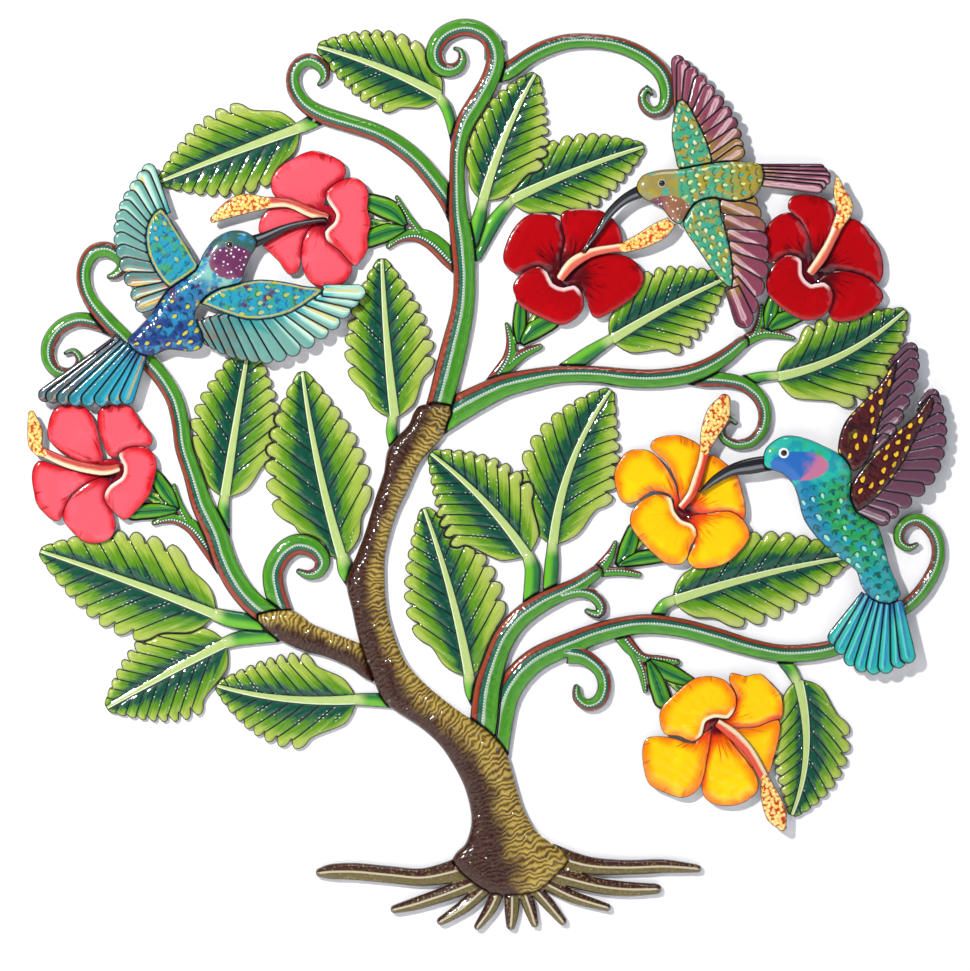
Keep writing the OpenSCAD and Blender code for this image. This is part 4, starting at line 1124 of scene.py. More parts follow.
def outline_of(p, colour, width=0.7, reach=1.7):
    """Dark paint where a piece's edge turns away."""
    return p.mix(p.ease(p.field("edge"), width, reach), colours().ink, colour)


def shadow_under_edges(p, colour, reach):
    """Painted shadow: a dark line where one part of a piece meets another that lies over it."""
    return p.mix(p.ease(p.field("cover"), 0.35, reach), colours().ink, colour)


def vine_paint():
    c = colours()
    p = Paint("enamel_vine")
    r = p.field("across") / p.field("half")
    drift = p.noise(p.spot(p.field("along") * 0.02, p.field("across") * 0.25), 3.0)
    r = r + 0.18 * (drift - 0.5)
    streak = p.noise(p.spot(p.field("along") * 0.03, p.field("across") * 1.2), 2.0, 3.0)
    green = p.mix(p.ease(r, -0.95, -0.35), (0.11, 0.41, 0.018), c.vine_green)
    green = p.mix(p.ease(streak, 0.42, 0.7), green, (0.02, 0.15, 0.02))
    # Painted highlight: a pale band down the raised middle of the vine
    pale = (0.36, 0.47, 0.36)
    teal = p.mix(p.ease(streak, 0.4, 0.65), c.vine_teal, (0.02, 0.16, 0.09))
    colour = p.mix(p.ease(r, -0.12, 0.02), green, pale)
    colour = p.mix(p.ease(r, 0.06, 0.22), colour, teal)
    colour = p.mix(p.ease(r, 0.44, 0.52), colour, (0.02, 0.012, 0.01))
    rust = p.mix(p.ease(r, 0.62, 0.95), c.vine_rust, (0.34, 0.075, 0.03))
    colour = p.mix(p.ease(r, 0.5, 0.6), colour, rust)
    colour = outline_of(p, colour)
    colour = p.mix(p.field("mark"), colour, (0.80, 0.84, 0.76))
    return p.finish(colour)


def leaf_paint():
    c = colours()
    p = Paint("enamel_leaf")
    across = p.field("across")
    v = abs(across)
    half = p.field("half")
    t = v / half
    lobe = p.field("lobe")
    f = p.fract(lobe)
    left = p.ease(across, -0.3, 0.3)
    brush = p.noise(p.spot(lobe * 5.0, t * 1.6, left * 4.0), 1.6, 3.0)
    patch = p.noise(p.place(), 0.045, 2.0)
    far = t + 0.55 * (brush - 0.5) + 0.35 * (patch - 0.5) - 0.16 * left + 0.10 * p.sine(f * math.pi)
    colour = p.mix(p.ease(far, 0.27, 0.50), c.leaf_deep, c.leaf_bright)
    colour = p.mix(p.ease(far, 0.52, 0.88), colour, c.leaf_pale)
    colour = p.mix(p.ease(far, 0.85, 1.15), colour, (0.45, 0.50, 0.16))
    vein = p.low(f, 1.0 - f) * p.field("pitch") * 0.67
    vein_on = p.ease(vein, 0.85, 0.45) * p.ease(t, 0.97, 0.88) * p.ease(lobe, 0.15, 0.4)
    colour = p.mix(vein_on, colour, c.ink)
    speck = p.ease(abs(vein - 1.2), 0.40, 0.22) * p.ease(p.fract(v / 3.1), 0.34, 0.22)
    speck = speck * p.ease(p.noise(p.place(), 0.08), 0.57, 0.63) * p.ease(t, 0.85, 0.7)
    colour = p.mix(speck, colour, (0.75, 0.82, 0.72))
    rib = p.field("rib")
    streak = p.noise(p.spot(p.field("along") * 0.06, across * 0.8), 2.0, 3.0)
    band = p.mix(streak, (0.30, 0.46, 0.10), (0.56, 0.66, 0.27))
    colour = p.mix(p.ease(v - rib, 0.15, -0.15), colour, band)
    colour = p.mix(p.ease(abs(v - rib), 0.62, 0.30), colour, c.ink)
    gleam = p.ease(abs(across - rib + 1.1), 0.42, 0.22)
    colour = p.mix(0.7 * gleam, colour, (0.85, 0.9, 0.82))
    stem = p.mix(p.ease(across, -2.0, 3.0), (0.12, 0.42, 0.02), (0.02, 0.16, 0.04))
    colour = p.mix(p.field("mark"), colour, stem)
    colour = outline_of(p, colour, 0.5, 1.3)
    return p.finish(colour, gloss=0.30)


def bark_paint():
    c = colours()
    p = Paint("enamel_bark")
    r = p.field("across") / p.field("half")
    row = p.field("row")
    f = p.fract(row)
    patch = p.noise(p.place(), 0.06, 3.0)
    lit = p.ease(-r + 0.9 * (patch - 0.5), -0.28, 0.45)
    dark = p.mix(p.ease(p.noise(p.place(), 0.5), 0.5, 0.68), c.bark_dark, (0.10, 0.035, 0.012))
    sunned = p.ease(p.noise(p.place(), 0.07, 4.0), 0.35, 0.6)
    gold = p.mix(sunned, (0.17, 0.085, 0.012), c.bark_gold)
    colour = p.mix(lit, dark, gold)
    # Painted light on the ridge tops: a highlight on the lit side and shade on the shaded side
    crest_shading = p.ease(abs(f - 0.5), 0.34, 0.05)
    colour = p.mix(0.55 * crest_shading, colour, p.mix(lit, (0.060, 0.016, 0.006), (0.60, 0.46, 0.10)))
    groove = p.ease(p.low(f, 1.0 - f), 0.30, 0.04)
    colour = p.mix(0.6 * groove, colour, (0.018, 0.008, 0.004))
    root = p.field("mark")
    upper = p.ease(p.field("rise") + 1.2 * (p.noise(p.place(), 0.25) - 0.5), -0.5, 0.5)
    rooty = p.mix(upper, (0.13, 0.10, 0.025), (0.045, 0.010, 0.008))
    rooty = p.mix(p.ease(p.noise(p.place(), 0.4), 0.55, 0.7), rooty, (0.24, 0.18, 0.05))
    spine = p.ease(abs(p.field("across")), 1.3, 0.5)
    rooty = p.mix(0.85 * spine, rooty, (0.62, 0.55, 0.38))
    colour = p.mix(root, colour, rooty)
    shadow = (0.014, 0.004, 0.003)
    foot = p.high(root, p.ease(p.field("along"), 30.0, 60.0))
    colour = p.mix(foot * p.ease(p.field("edge"), 1.5, 0.2), colour, shadow)
    colour = p.mix(0.7 * p.ease(p.field("cover"), 2.4, 0.3), colour, shadow)
    return p.finish(colour, gloss=0.32)


def calyx_paint():
    c = colours()
    p = Paint("enamel_calyx")
    r = p.field("across") / p.field("half")
    sepal = p.field("mark")
    streak = p.noise(p.spot(p.field("along") * 0.05, p.field("across") * 0.8), 2.0, 3.0)
    stem = p.mix(p.ease(r + 0.5 * (streak - 0.5), -0.3, 0.3), c.vine_green, c.vine_teal)
    stem = p.mix(p.ease(r, 0.45, 0.6), stem, c.vine_rust)
    dots = p.ease(abs(r - 0.2), 0.16, 0.08) * p.ease(p.fract(p.field("along") / 2.7), 0.55, 0.4)
    stem = p.mix(dots, stem, (0.8, 0.84, 0.76))
    middle = p.ease(abs(r) + 0.5 * (streak - 0.5), 0.15, 0.6)
    leafy = p.mix(middle, (0.01, 0.15, 0.03), (0.10, 0.34, 0.01))
    leafy = p.mix(p.ease(abs(r) + 0.4 * (streak - 0.5), 0.65, 0.95), leafy, c.leaf_pale)
    leafy = p.mix(0.8 * p.ease(abs(p.field("across")), 0.6, 0.3), leafy, c.ink)
    colour = p.mix(sepal, stem, leafy)
    # Painted shadow: dark lines where a sepal lies over the rest of the calyx, over the ink outline
    colour = shadow_under_edges(p, outline_of(p, colour, 0.4, 1.1), 1.1)
    return p.finish(colour)


def petal_paint(name, body, rim, rim_reach, shade, throat_reach, streaks, lip):
    """Petals with a darker rim, rays of shade out of the throat, painted shade where one petal lies
    over another, and a painted highlight on the rolled rim of the lip.
    """
    p = Paint(name)
    x, z = p.field("across"), p.field("along")
    radius = p.math("SQRT", x * x + z * z)
    angle = p.math("ARCTAN2", z, x)
    edge, cover = p.field("edge"), p.field("cover")
    fine = p.noise(p.spot(angle * 5.0, radius * 0.02), 2.0, 3.0)
    cloud = p.noise(p.place(), 0.055, 2.0)
    colour = p.mix(p.ease(edge + 9.0 * (cloud - 0.5), 0.5, rim_reach), rim, body)
    colour = p.mix(0.5 * p.ease(cloud, 0.52, 0.72), colour, p.shade(body, 1.25))
    # Painted crease shade: dark strokes of the rim colour in from the edge
    crease_shade = p.ease(p.noise(p.spot(angle * 7.0, radius * 0.012, 3.0), 2.2, 2.0), 0.60, 0.66)
    crease_shade = crease_shade * p.ease(edge + 4.0 * (fine - 0.5), 9.0, 5.0)
    colour = p.mix(0.75 * crease_shade, colour, p.shade(rim, 0.55))
    off_lip = 1.0 - 0.85 * p.field("mark")
    wash = p.ease(radius + 16.0 * (fine - 0.5), 0.95 * throat_reach, 0.42 * throat_reach)
    colour = p.mix(0.85 * wash * off_lip, colour, shade)
    ray = p.ease(fine, 0.56 - streaks, 0.70 - streaks)
    reach = p.ease(radius + 24.0 * (fine - 0.5), throat_reach + 12.0, throat_reach - 4.0)
    colour = p.mix(reach * ray * off_lip, colour, shade)
    # Painted shade on a petal near the edges of the petals that lie over it
    colour = p.mix(0.85 * p.ease(cover + 5.0 * (cloud - 0.5), 6.0, 0.5), colour, shade)
    deep = p.ease(radius + 6.0 * (fine - 0.5), throat_reach * 0.45, throat_reach * 0.20)
    colour = p.mix(deep, colour, colours().throat)
    # Painted highlight: a pale rim along the rolled edge of the lip petal, near the throat
    near_throat = p.ease(radius + 6.0 * (fine - 0.5), 25.0, 17.0)
    colour = p.mix(p.field("mark") * near_throat * p.ease(edge, 5.0, 2.2), colour, lip)
    # Painted shade: a dark line where another petal lies over this one
    colour = p.mix(p.ease(cover, 0.2, 1.1), p.shade(shade, 0.35), colour)
    colour = outline_of(p, colour, 0.3, 0.9)
    return p.finish(colour, gloss=0.14, coat=0.9)


def stamen_paint(name, column, side_tint, speckle):
    """Pale column with a tinted side, and a tip covered in grains."""
    p = Paint(name)
    r = p.field("across") / p.field("half")
    streak = p.noise(p.spot(p.field("along") * 0.06, p.field("across") * 0.7), 2.0, 3.0)
    stalk = p.mix(p.ease(r + 0.7 * (streak - 0.5), -0.15, 0.45), side_tint, column)
    near = p.cells(p.place(), 0.34)
    grain = p.ease(near, 0.70, 0.52)
    dots = p.mix(grain, speckle, (0.90, 0.60, 0.14))
    dots = p.mix(p.ease(near, 0.36, 0.14), dots, (0.95, 0.88, 0.60))
    colour = p.mix(p.field("mark"), stalk, dots)
    colour = outline_of(p, colour, 0.3, 0.9)
    return p.finish(colour, relief=-1.6 * near * p.field("mark"))


def scallops(p, u, v, size):
    """Staggered rows of drops: (place down a drop, place across it, chance of the drop)."""
    row = u / size
    line = p.math("FLOOR", row)
    odd = p.math("FLOORED_MODULO", line, 2.0)
    column = v / size * 0.95 + 0.5 * odd
    chance = p.node("ShaderNodeTexWhiteNoise", {"noise_dimensions": "2D"},
                    {"Vector": p.spot(line, p.math("FLOOR", column))})
    return p.fract(row), p.fract(column) - 0.5, Number(p, chance.outputs["Value"])


def plumage(name, looks):
    """Body feathers, quills and bill of one bird. looks holds its colours."""
    p = Paint(name)
    u, v, half = p.field("along"), p.field("across"), p.field("half")
    place = p.place()
    cloud = p.noise(place, 0.07, 2.0)
    sway = 5.0 * (p.noise(place, 0.11) - 0.5)
    down, across, chance = scallops(p, u + sway, v + sway, looks["scale"])
    # body and coverts
    base = looks["stops"][0][1]
    reach = p.field("reach") + 0.20 * (cloud - 0.5)
    for start, shade in looks["stops"][1:]:
        base = p.mix(p.ease(reach, start - 0.06, start + 0.06), base, shade)
    base = p.mix(p.ease(p.noise(place, 0.11, 3.0), 0.48, 0.62), base, looks["second"])
    base = p.mix(p.ease(p.noise(place, 0.085, 3.0), 0.60, 0.72), base, looks["third"])
    if "belly" in looks:
        belly = p.ease(-(v / half) + 0.8 * (cloud - 0.5), 0.0, 0.7)
        belly = belly * p.ease(p.field("reach"), 0.15, 0.3)
        base = p.mix(belly, base, looks["belly"])
    scaly = p.ease(p.field("reach"), looks["plain"], looks["plain"] + 0.08)
    arc = p.ease(abs(down - 0.30 - 1.5 * across * across), 0.16, 0.05)
    arc = arc * p.ease(abs(across), 0.44, 0.34)
    x = across / (0.26 - 0.16 * down)
    y = (down - 0.60) / 0.30
    drop = p.ease(x * x + y * y, 1.15, 0.75)
    body = p.mix(0.65 * arc * scaly, base, looks["arc"])
    body = p.mix(drop * scaly * p.ease(chance, 0.50, 0.44), body, looks["fleck"])
    body = p.mix(drop * scaly * p.ease(chance, 0.70, 0.76), body, looks["fleck_2"])
    if "rim" in looks:
        body = p.mix(p.ease(abs(p.field("edge") - 2.3), 0.9, 0.4), body, looks["rim"])
    throat = p.field("throat") + 0.7 * (p.noise(place, 0.2, 3.0) - 0.5)
    blush = p.field("reach") + 0.12 * (p.noise(place, 0.12) - 0.5)
    rosy = p.ease(blush, looks["blush"] - 0.04, looks["blush"] + 0.04)
    bib = p.mix(rosy, looks["throat"], looks["throat_2"])
    if looks["throat_dots"]:
        dot = p.cells(place, 0.24)
        bib = p.mix(p.ease(dot, 0.28, 0.16), bib, (0.8, 0.8, 0.78))
    body = p.mix(p.ease(throat, 0.35, 0.65), body, bib)
    # quills
    r = v / half
    comb = p.noise(p.spot(v * 0.9, u * 0.035, p.field("part") * 0.37), 2.4, 2.0)
    near_tip = comb + 0.9 * p.field("reach") - 0.25
    quill = p.mix(p.ease(near_tip, 0.35, 0.60), looks["quill_root"], looks["quill"])
    inner = p.field("inner") + 0.25 * (cloud - 0.5)
    quill = p.mix(p.ease(inner, looks["change"] - 0.12, looks["change"] + 0.12),
                  quill, p.mix(p.ease(comb, 0.4, 0.6), looks["quill_2"], looks["quill_root"]))
    shaft = p.ease(abs(r - 0.15 + 0.3 * (cloud - 0.5)), 0.30, 0.10) * p.ease(comb, 0.34, 0.52)
    quill = p.mix(0.85 * shaft, quill, looks["streak"])
    gleam = p.ease(abs(r + 0.22 + 0.2 * (comb - 0.5)), 0.20, 0.05)
    quill = p.mix(0.6 * gleam, quill, looks["gleam"])
    quill = p.mix(0.6 * p.ease(r, -0.5, -0.9), quill, looks["quill_edge"])
    colour = p.mix(p.field("quills"), body, quill)
    # bill
    bill = p.mix(p.ease(abs(r - 0.25), 0.35, 0.1), (0.012, 0.012, 0.015), (0.16, 0.17, 0.19))
    colour = p.mix(p.field("mark"), colour, bill)
    # Painted shadow: dark lines where one feather or the body lies over another part, over the ink
    # outline
    colour = shadow_under_edges(p, outline_of(p, colour, 0.45, 1.3), 1.5)
    lift = (1.0 - p.field("quills")) * (1.0 - p.field("mark")) * scaly
    return p.finish(colour, relief=-1.3 * arc * lift, gloss=0.26)


# Paint of each bird. Stops are [how far down the body, colour], scale and plain are the size
# of a feather in mm and how far down they start, and blush and change are where the second
# colours of the throat and the quills start.
LOOKS = [
    {"scale": 8.5, "plain": 0.40, "throat_dots": True, "blush": 0.28,
     "stops": [(0, (0.03, 0.11, 0.10)), (0.25, (0.20, 0.48, 0.42)), (0.42, (0.02, 0.16, 0.34)),
               (0.66, (0.012, 0.045, 0.20))],
     "second": (0.02, 0.22, 0.40), "third": (0.07, 0.02, 0.10), "arc": (0.004, 0.012, 0.06),
     "fleck": (0.56, 0.50, 0.02), "fleck_2": (0.01, 0.03, 0.12),
     "throat": (0.13, 0.025, 0.09), "throat_2": (0.20, 0.06, 0.13),
     "quill": (0.36, 0.64, 0.52), "quill_root": (0.03, 0.42, 0.44), "quill_2": (0.46, 0.13, 0.03),
     "change": 0.66, "streak": (0.80, 0.52, 0.06), "gleam": (0.78, 0.90, 0.78),
     "quill_edge": (0.008, 0.16, 0.16)},
    {"scale": 8.0, "plain": 0.30, "throat_dots": True, "blush": 0.22,
     "stops": [(0, (0.30, 0.24, 0.07)), (0.30, (0.07, 0.34, 0.18)), (0.75, (0.34, 0.27, 0.03))],
     "second": (0.36, 0.28, 0.03), "third": (0.03, 0.38, 0.30), "arc": (0.04, 0.07, 0.02),
     "fleck": (0.62, 0.68, 0.28), "fleck_2": (0.02, 0.36, 0.26),
     "throat": (0.16, 0.035, 0.07), "throat_2": (0.28, 0.12, 0.06),
     "quill": (0.22, 0.05, 0.085), "quill_root": (0.30, 0.15, 0.03), "quill_2": (0.30, 0.20, 0.05),
     "change": 0.80, "streak": (0.72, 0.46, 0.50), "gleam": (0.80, 0.62, 0.64),
     "quill_edge": (0.035, 0.006, 0.012)},
    {"scale": 9.0, "plain": 0.30, "throat_dots": False, "blush": 0.22, "belly": (0.008, 0.20, 0.36),
     "stops": [(0, (0.02, 0.44, 0.34)), (0.36, (0.02, 0.30, 0.08)), (0.80, (0.01, 0.30, 0.30))],
     "second": (0.012, 0.30, 0.36), "third": (0.04, 0.40, 0.10), "arc": (0.002, 0.02, 0.03),
     "fleck": (0.006, 0.10, 0.08), "fleck_2": (0.30, 0.66, 0.50),
     "throat": (0.02, 0.13, 0.44), "throat_2": (0.50, 0.16, 0.28),
     "quill": (0.13, 0.05, 0.085), "quill_root": (0.07, 0.012, 0.018),
     "quill_2": (0.12, 0.06, 0.08), "change": 2.0, "streak": (0.36, 0.26, 0.28),
     "gleam": (0.66, 0.62, 0.62),
     "quill_edge": (0.018, 0.004, 0.008)},
]
# What differs on the wings, and on the tail
WING_LOOKS = [
    {"stops": [(0, (0.015, 0.28, 0.42))], "second": (0.05, 0.30, 0.13), "third": (0.09, 0.03, 0.10),
     "fleck": (0.55, 0.52, 0.02), "fleck_2": (0.008, 0.06, 0.22), "rim": (0.50, 0.38, 0.03)},
    {"stops": [(0, (0.05, 0.34, 0.20))], "fleck_2": (0.72, 0.70, 0.42)},
    {"stops": [(0, (0.075, 0.010, 0.012))], "belly": (0.060, 0.008, 0.010),
     "second": (0.035, 0.006, 0.008), "third": (0.10, 0.07, 0.01),
     "arc": (0.015, 0.003, 0.004), "fleck": (0.80, 0.50, 0.02), "fleck_2": (0.80, 0.44, 0.02),
     "scale": 9.5},
]
TAIL_LOOKS = [
    {"quill": (0.012, 0.26, 0.40), "quill_root": (0.010, 0.06, 0.20), "streak": (0.52, 0.34, 0.06),
     "gleam": (0.05, 0.50, 0.55), "change": 0.64, "quill_2": (0.24, 0.11, 0.02)},
    {"change": 2.0},
    {"quill": (0.02, 0.42, 0.36), "quill_root": (0.008, 0.14, 0.34), "streak": (0.04, 0.16, 0.46),
     "gleam": (0.20, 0.72, 0.62), "quill_edge": (0.002, 0.02, 0.05)},
]


def steel_paint():
    p = Paint("dark_steel")
    place = p.place()
    worn = p.noise(place, 0.6, 4.0)
    colour = p.mix(worn, (0.10, 0.10, 0.105), (0.26, 0.26, 0.27))
    colour = p.mix(p.ease(p.noise(place, 0.12, 3.0), 0.56, 0.7), colour, (0.16, 0.07, 0.03))
    bump = p.node("ShaderNodeBump", None, {"Strength": 0.3, "Distance": 0.0002, "Height": worn})
    shader = p.node("ShaderNodeBsdfPrincipled", None, {
        "Base Color": colour, "Roughness": 0.35 + 0.25 * worn, "Metallic": 0.9,
        "Normal": bump.outputs[0]})
    p.show(shader)
    return p.material


# ---- pieces ----


def tabs_at(tab, depth, part):
    """The parts, with the faces at the depth of the tabs kept apart."""
    return np.where(np.abs(depth - tab) < 0.15, TAB, part)


def above(*limits, tab=-FAR):
    """A part for the faces in front of each depth, with tabs behind them kept apart."""

    def parts_of(depth):
        part = np.full(len(depth), OUTSIDE)
        for limit in limits:
            part = np.where(depth > limit, part + 1, part)
        return tabs_at(tab, depth, part)

    return parts_of


def steps(depth, first, step):
    """Number of the layer that each face is on."""
    return np.round((depth - first) / step).astype(int)


def zeros(sheet):
    return np.zeros(len(sheet.p))


def swapped(mask, new, old):
    """The old measures of a line, with the new ones where the mask is true."""
    return [np.where(mask, a, b) for a, b in zip(new, old)]


def build_vine(name, finish):
    s = sizes()
    sheet = Sheet(name, above(7.0, tab=VINE_BACK), mm(s.gap))
    flip = -1.0 if name in RUST_ON_RIGHT else 1.0
    lines = [Line(VINES[name])]
    if name in SMALL_CURLS:
        lines.append(Line(SMALL_CURLS[name]))
    found = [line.locate(sheet.p) for line in lines]
    pick = np.zeros(len(sheet.p), int)
    if len(found) > 1:
        pick = (found[1][3] / found[1][2] < found[0][3] / found[0][2]).astype(int)
    along, left, half, _ = [np.where(pick == 0, found[0][k], found[-1][k]) for k in range(4)]
    half = np.maximum(half, 2.0)
    r = flip * left / half
    rim, rise = mm(s.rim), mm(s.vine_rise)
    round_up = dome(sheet.edge / np.maximum(0.95 * half, 2.5))
    depth = VINE_BACK + rim + (rise - rim) * round_up * np.minimum(1, 0.55 + half / 18)
    depth -= 0.55 * np.exp(-((r - 0.52) / 0.10)**2) * round_up
    depth += mm(s.hammer) * wobble(*sheet.p.T, 7.0) * round_up
    fields = {"along": along, "across": flip * left, "half": half, "mark": zeros(sheet)}
    extra = []
    for line in lines:
        extra += beads_along(line, 0.12 * flip, sheet, depth)
    make_shell(name, sheet, depth, VINE_BACK, fields, finish, extra)


def build_leaf(name, finish):
    s = sizes()
    leaf = LEAVES[name]
    sheet = Sheet(name, above(4.0, tab=VINE_BACK), mm(s.gap))
    blade = Line(bezier(leaf), 4.0)
    along, left, _, _ = blade.locate(sheet.p)
    a, b, c = (np.array(q, float) for q in leaf[0])
    size = np.linalg.norm(b - a) / 2 + np.linalg.norm(c - b) / 2 + np.linalg.norm(c - a) / 2
    reach = np.clip(along / size, 0, 1)
    wide = np.where(left > 0, leaf[1], leaf[2])
    half = wide * np.maximum(0.02, np.sin(np.pi * reach**0.8))**0.85 + 3.5
    pitch = size / LOBES
    lobe = (along - VEIN_LEAN * np.abs(left)) / pitch
    stem = Line(leaf[3], 3.0)
    _, stem_left, stem_half, _ = stem.locate(sheet.p)
    on_stem = (np.abs(stem_left) < stem_half + 1.5) & (along < 1.0)
    rib = 4.9 - 3.1 * reach
    f = lobe - np.floor(lobe)
    rim = mm(s.rim)
    puff = np.sin(np.pi * f)**0.7 * soft(np.abs(left) - rib, 0.0, 8.0)
    lift = dome(sheet.edge / 7.0)
    rise = mm(s.leaf_rise) - rim
    depth = LEAF_BACK + rim + rise * lift * (0.62 + 0.38 * puff)
    rib_up = soft(rib - np.abs(left), -0.9, 0.7) * soft(along, -2.0, 6.0)
    trench = np.exp(-((np.abs(left) - rib - 0.7) / 0.9)**2) * soft(along, 0.0, 6.0)
    depth += (0.8 * rib_up - 0.45 * trench) * lift
    depth += mm(s.hammer) * 0.8 * wobble(*sheet.p.T, 5.5) * lift
    mark = on_stem * soft(np.linalg.norm(sheet.p - a, axis=1), 1.0, 13.0)
    tube = LEAF_BACK + rim + (rise + 0.4) * dome(sheet.edge / np.maximum(stem_half, 3.0))
    depth = np.where(on_stem, tube, depth)
    fields = {
        "along": along, "across": np.where(on_stem, stem_left, left), "half": half, "lobe": lobe,
        "rib": np.where(on_stem, stem_half + 1.0, rib), "pitch": zeros(sheet) + pitch, "mark": mark,
    }
    make_shell(name, sheet, depth, LEAF_BACK, fields, finish)


def bark_rows(along, across, size=4.4):
    """Number of wavy ridges up to each place along the trunk."""
    bow = 0.11 * np.sin(2 * np.pi * across / 9.0 + 2.4 * np.sin(0.11 * along))
    bow += 0.16 * wobble(along + 0.6 * across, across, 8.0)
    return along / size + bow + 0.42 * wobble(along, across, 21.0) + 0.015 * across


def build_trunk(name, finish):
    s = sizes()
    trunk = name == "trunk_with_roots"
    sheet = Sheet(name, above(8.0, 10.0, tab=VINE_BACK), mm(s.gap) * 0.8)
    line = Line(TRUNK_LINE if trunk else LIMB_LINE)
    along, left, half, _ = line.locate(sheet.p)
    row = bark_rows(along, left)
    rim = mm(s.rim)
    rise = 8.4 if trunk else 7.2
    f = row - np.floor(row)
    lift = dome(sheet.edge / (13.0 if trunk else 11.0))
    depth = VINE_BACK + rim + (rise - rim) * lift
    depth += (0.9 * np.sin(np.pi * f)**0.7 - 0.5) * soft(sheet.edge, 0.5, 3.0)
    mark = (sheet.layer == 0).astype(float) if trunk else zeros(sheet)
    rise_up = zeros(sheet)
    if trunk:
        best = np.full(len(sheet.p), 1e9)
        for root in ROOTS:
            r_along, r_left, r_half, r_away = Line(root).locate(sheet.p)
            near = (r_away / r_half < best) & (mark > 0)
            best = np.where(near, r_away / r_half, best)
            along, left, half = swapped(near, (r_along, r_left, r_half), (along, left, half))
            up = np.array(root[-1][:2], float) - np.array(root[0][:2], float)
            rise_up = np.where(near, np.sign(up[0] or 1.0) * r_left / r_half, rise_up)
        tube = VINE_BACK + rim + (5.4 - rim) * dome(sheet.edge / np.maximum(0.9 * half, 3.0))
        tube += 0.7 * np.exp(-(left / 1.3)**2) - 0.6 * soft(sheet.cover, 3.0, 0.0)
        tube += 0.3 * wobble(*sheet.p.T, 5.0) * soft(sheet.edge, 0.5, 3.0)
        depth = np.where(mark > 0, tube, depth)
    fields = {
        "along": along, "across": left, "half": half, "row": row, "mark": mark, "rise": rise_up,
    }
    make_shell(name, sheet, depth, VINE_BACK, fields, finish)


def build_calyx(k, finish):
    s = sizes()
    name = f"calyx_{k + 1}"
    sheet = Sheet(name, above(5.0, 5.5, 5.7, tab=VINE_BACK), mm(s.gap) * 0.85)
    strips = [Line(q) for q in CALYXES[k]]
    found = [q.locate(sheet.p) for q in strips]
    order = np.array([q[3] / q[2] for q in found])
    order[4] += 0.8
    pick = order.argmin(0)
    pick = np.where(sheet.layer == 1, 2, np.where(sheet.layer == 2, 3, pick))
    i = np.arange(len(sheet.p))
    along, left, half = (np.array([q[j] for q in found])[pick, i] for j in range(3))
    rim = mm(s.rim) - 0.3
    depth = LEAF_BACK + rim + (3.6 - rim) * dome(sheet.edge / np.maximum(half, 3.0))
    sepal = pick >= 2
    crease = 0.9 * np.exp(-(left / 1.1)**2)
    lift = np.where(sepal, 0.45 * sheet.layer + 0.5 - crease, 0.0)
    depth += lift * soft(sheet.edge, 0.3, 2.5)
    depth = np.minimum(depth, FLOWER_BACK - 0.5)
    fields = {
        "along": along, "across": left, "half": np.maximum(half, 2.0), "mark": sepal.astype(float),
    }
    make_shell(name, sheet, depth, LEAF_BACK, fields, finish)


def build_corolla(k, finish):
    s = sizes()
    name = f"corolla_{k + 1}"

    def parts_of(depth):
        level = np.clip(steps(depth, PETAL_FACE, PETAL_STEP), 0, 9)
        return np.where(depth > PETAL_FACE - 0.4, level, OUTSIDE)

    sheet = Sheet(name, parts_of, mm(s.gap) * 0.9)
    heart = np.array(HEARTS[k], float)
    offset = sheet.p - heart
    radius = np.linalg.norm(offset, axis=1)
    rim = mm(s.rim)
    last = sheet.layer.max()
    swell = dome(sheet.edge / 13.0)
    sink = soft(sheet.cover, 7.0, 0.0)
    depth = FLOWER_BACK + rim - 0.6 + 0.42 * sheet.layer + (3.4 - rim) * swell
    depth -= 0.9 * sink * swell
    depth -= 1.3 * soft(radius, 22.0, 4.0) * (sheet.layer < last)
    lip = (sheet.layer == last).astype(float)
    roll = np.exp(-((sheet.edge - 2.2) / 1.6)**2) * soft(radius, 26.0, 18.0) * lip
    depth += 0.7 * roll
    depth += mm(s.hammer) * 0.4 * wobble(*sheet.p.T, 17.0) * swell
    fields = {"along": offset[:, 1], "across": offset[:, 0], "mark": lip}
    make_shell(name, sheet, depth, FLOWER_BACK, fields, finish)


def build_stamen(k, finish):
    s = sizes()
    name = f"stamen_{k + 1}"
    sheet = Sheet(name, above(15.0), mm(s.gap) * 0.7)
    found = [Line(q).locate(sheet.p) for q in STAMENS[k]]
    tip = found[1][3] / found[1][2] < 1.0
    along, left, half = swapped(tip, found[1][:3], found[0][:3])
    half = np.maximum(half, 2.0)
    rim = 1.0
    depth = STAMEN_BACK + rim + 2.3 * dome(sheet.edge / np.maximum(0.9 * half, 2.0))
    knobs = wobble(*sheet.p.T, 3.6)
    depth += np.where(tip, 0.4 * knobs, 0.08 * knobs) * soft(sheet.edge, 0.3, 2.0)
    fields = {"along": along, "across": left, "half": half, "mark": tip.astype(float)}
    make_shell(name, sheet, depth, STAMEN_BACK, fields, finish)


def quill_lines(feathers):
    """A line down the middle of each feather."""
    roots, tips, n = feathers
    out = []
    for i in range(n):
        a, b = point_along(roots, i / (n - 1)), point_along(tips, i / (n - 1))
        out.append(Line([[*a[:2], 11.0], [*b[:2], 14.0]], 60.0))
    return out


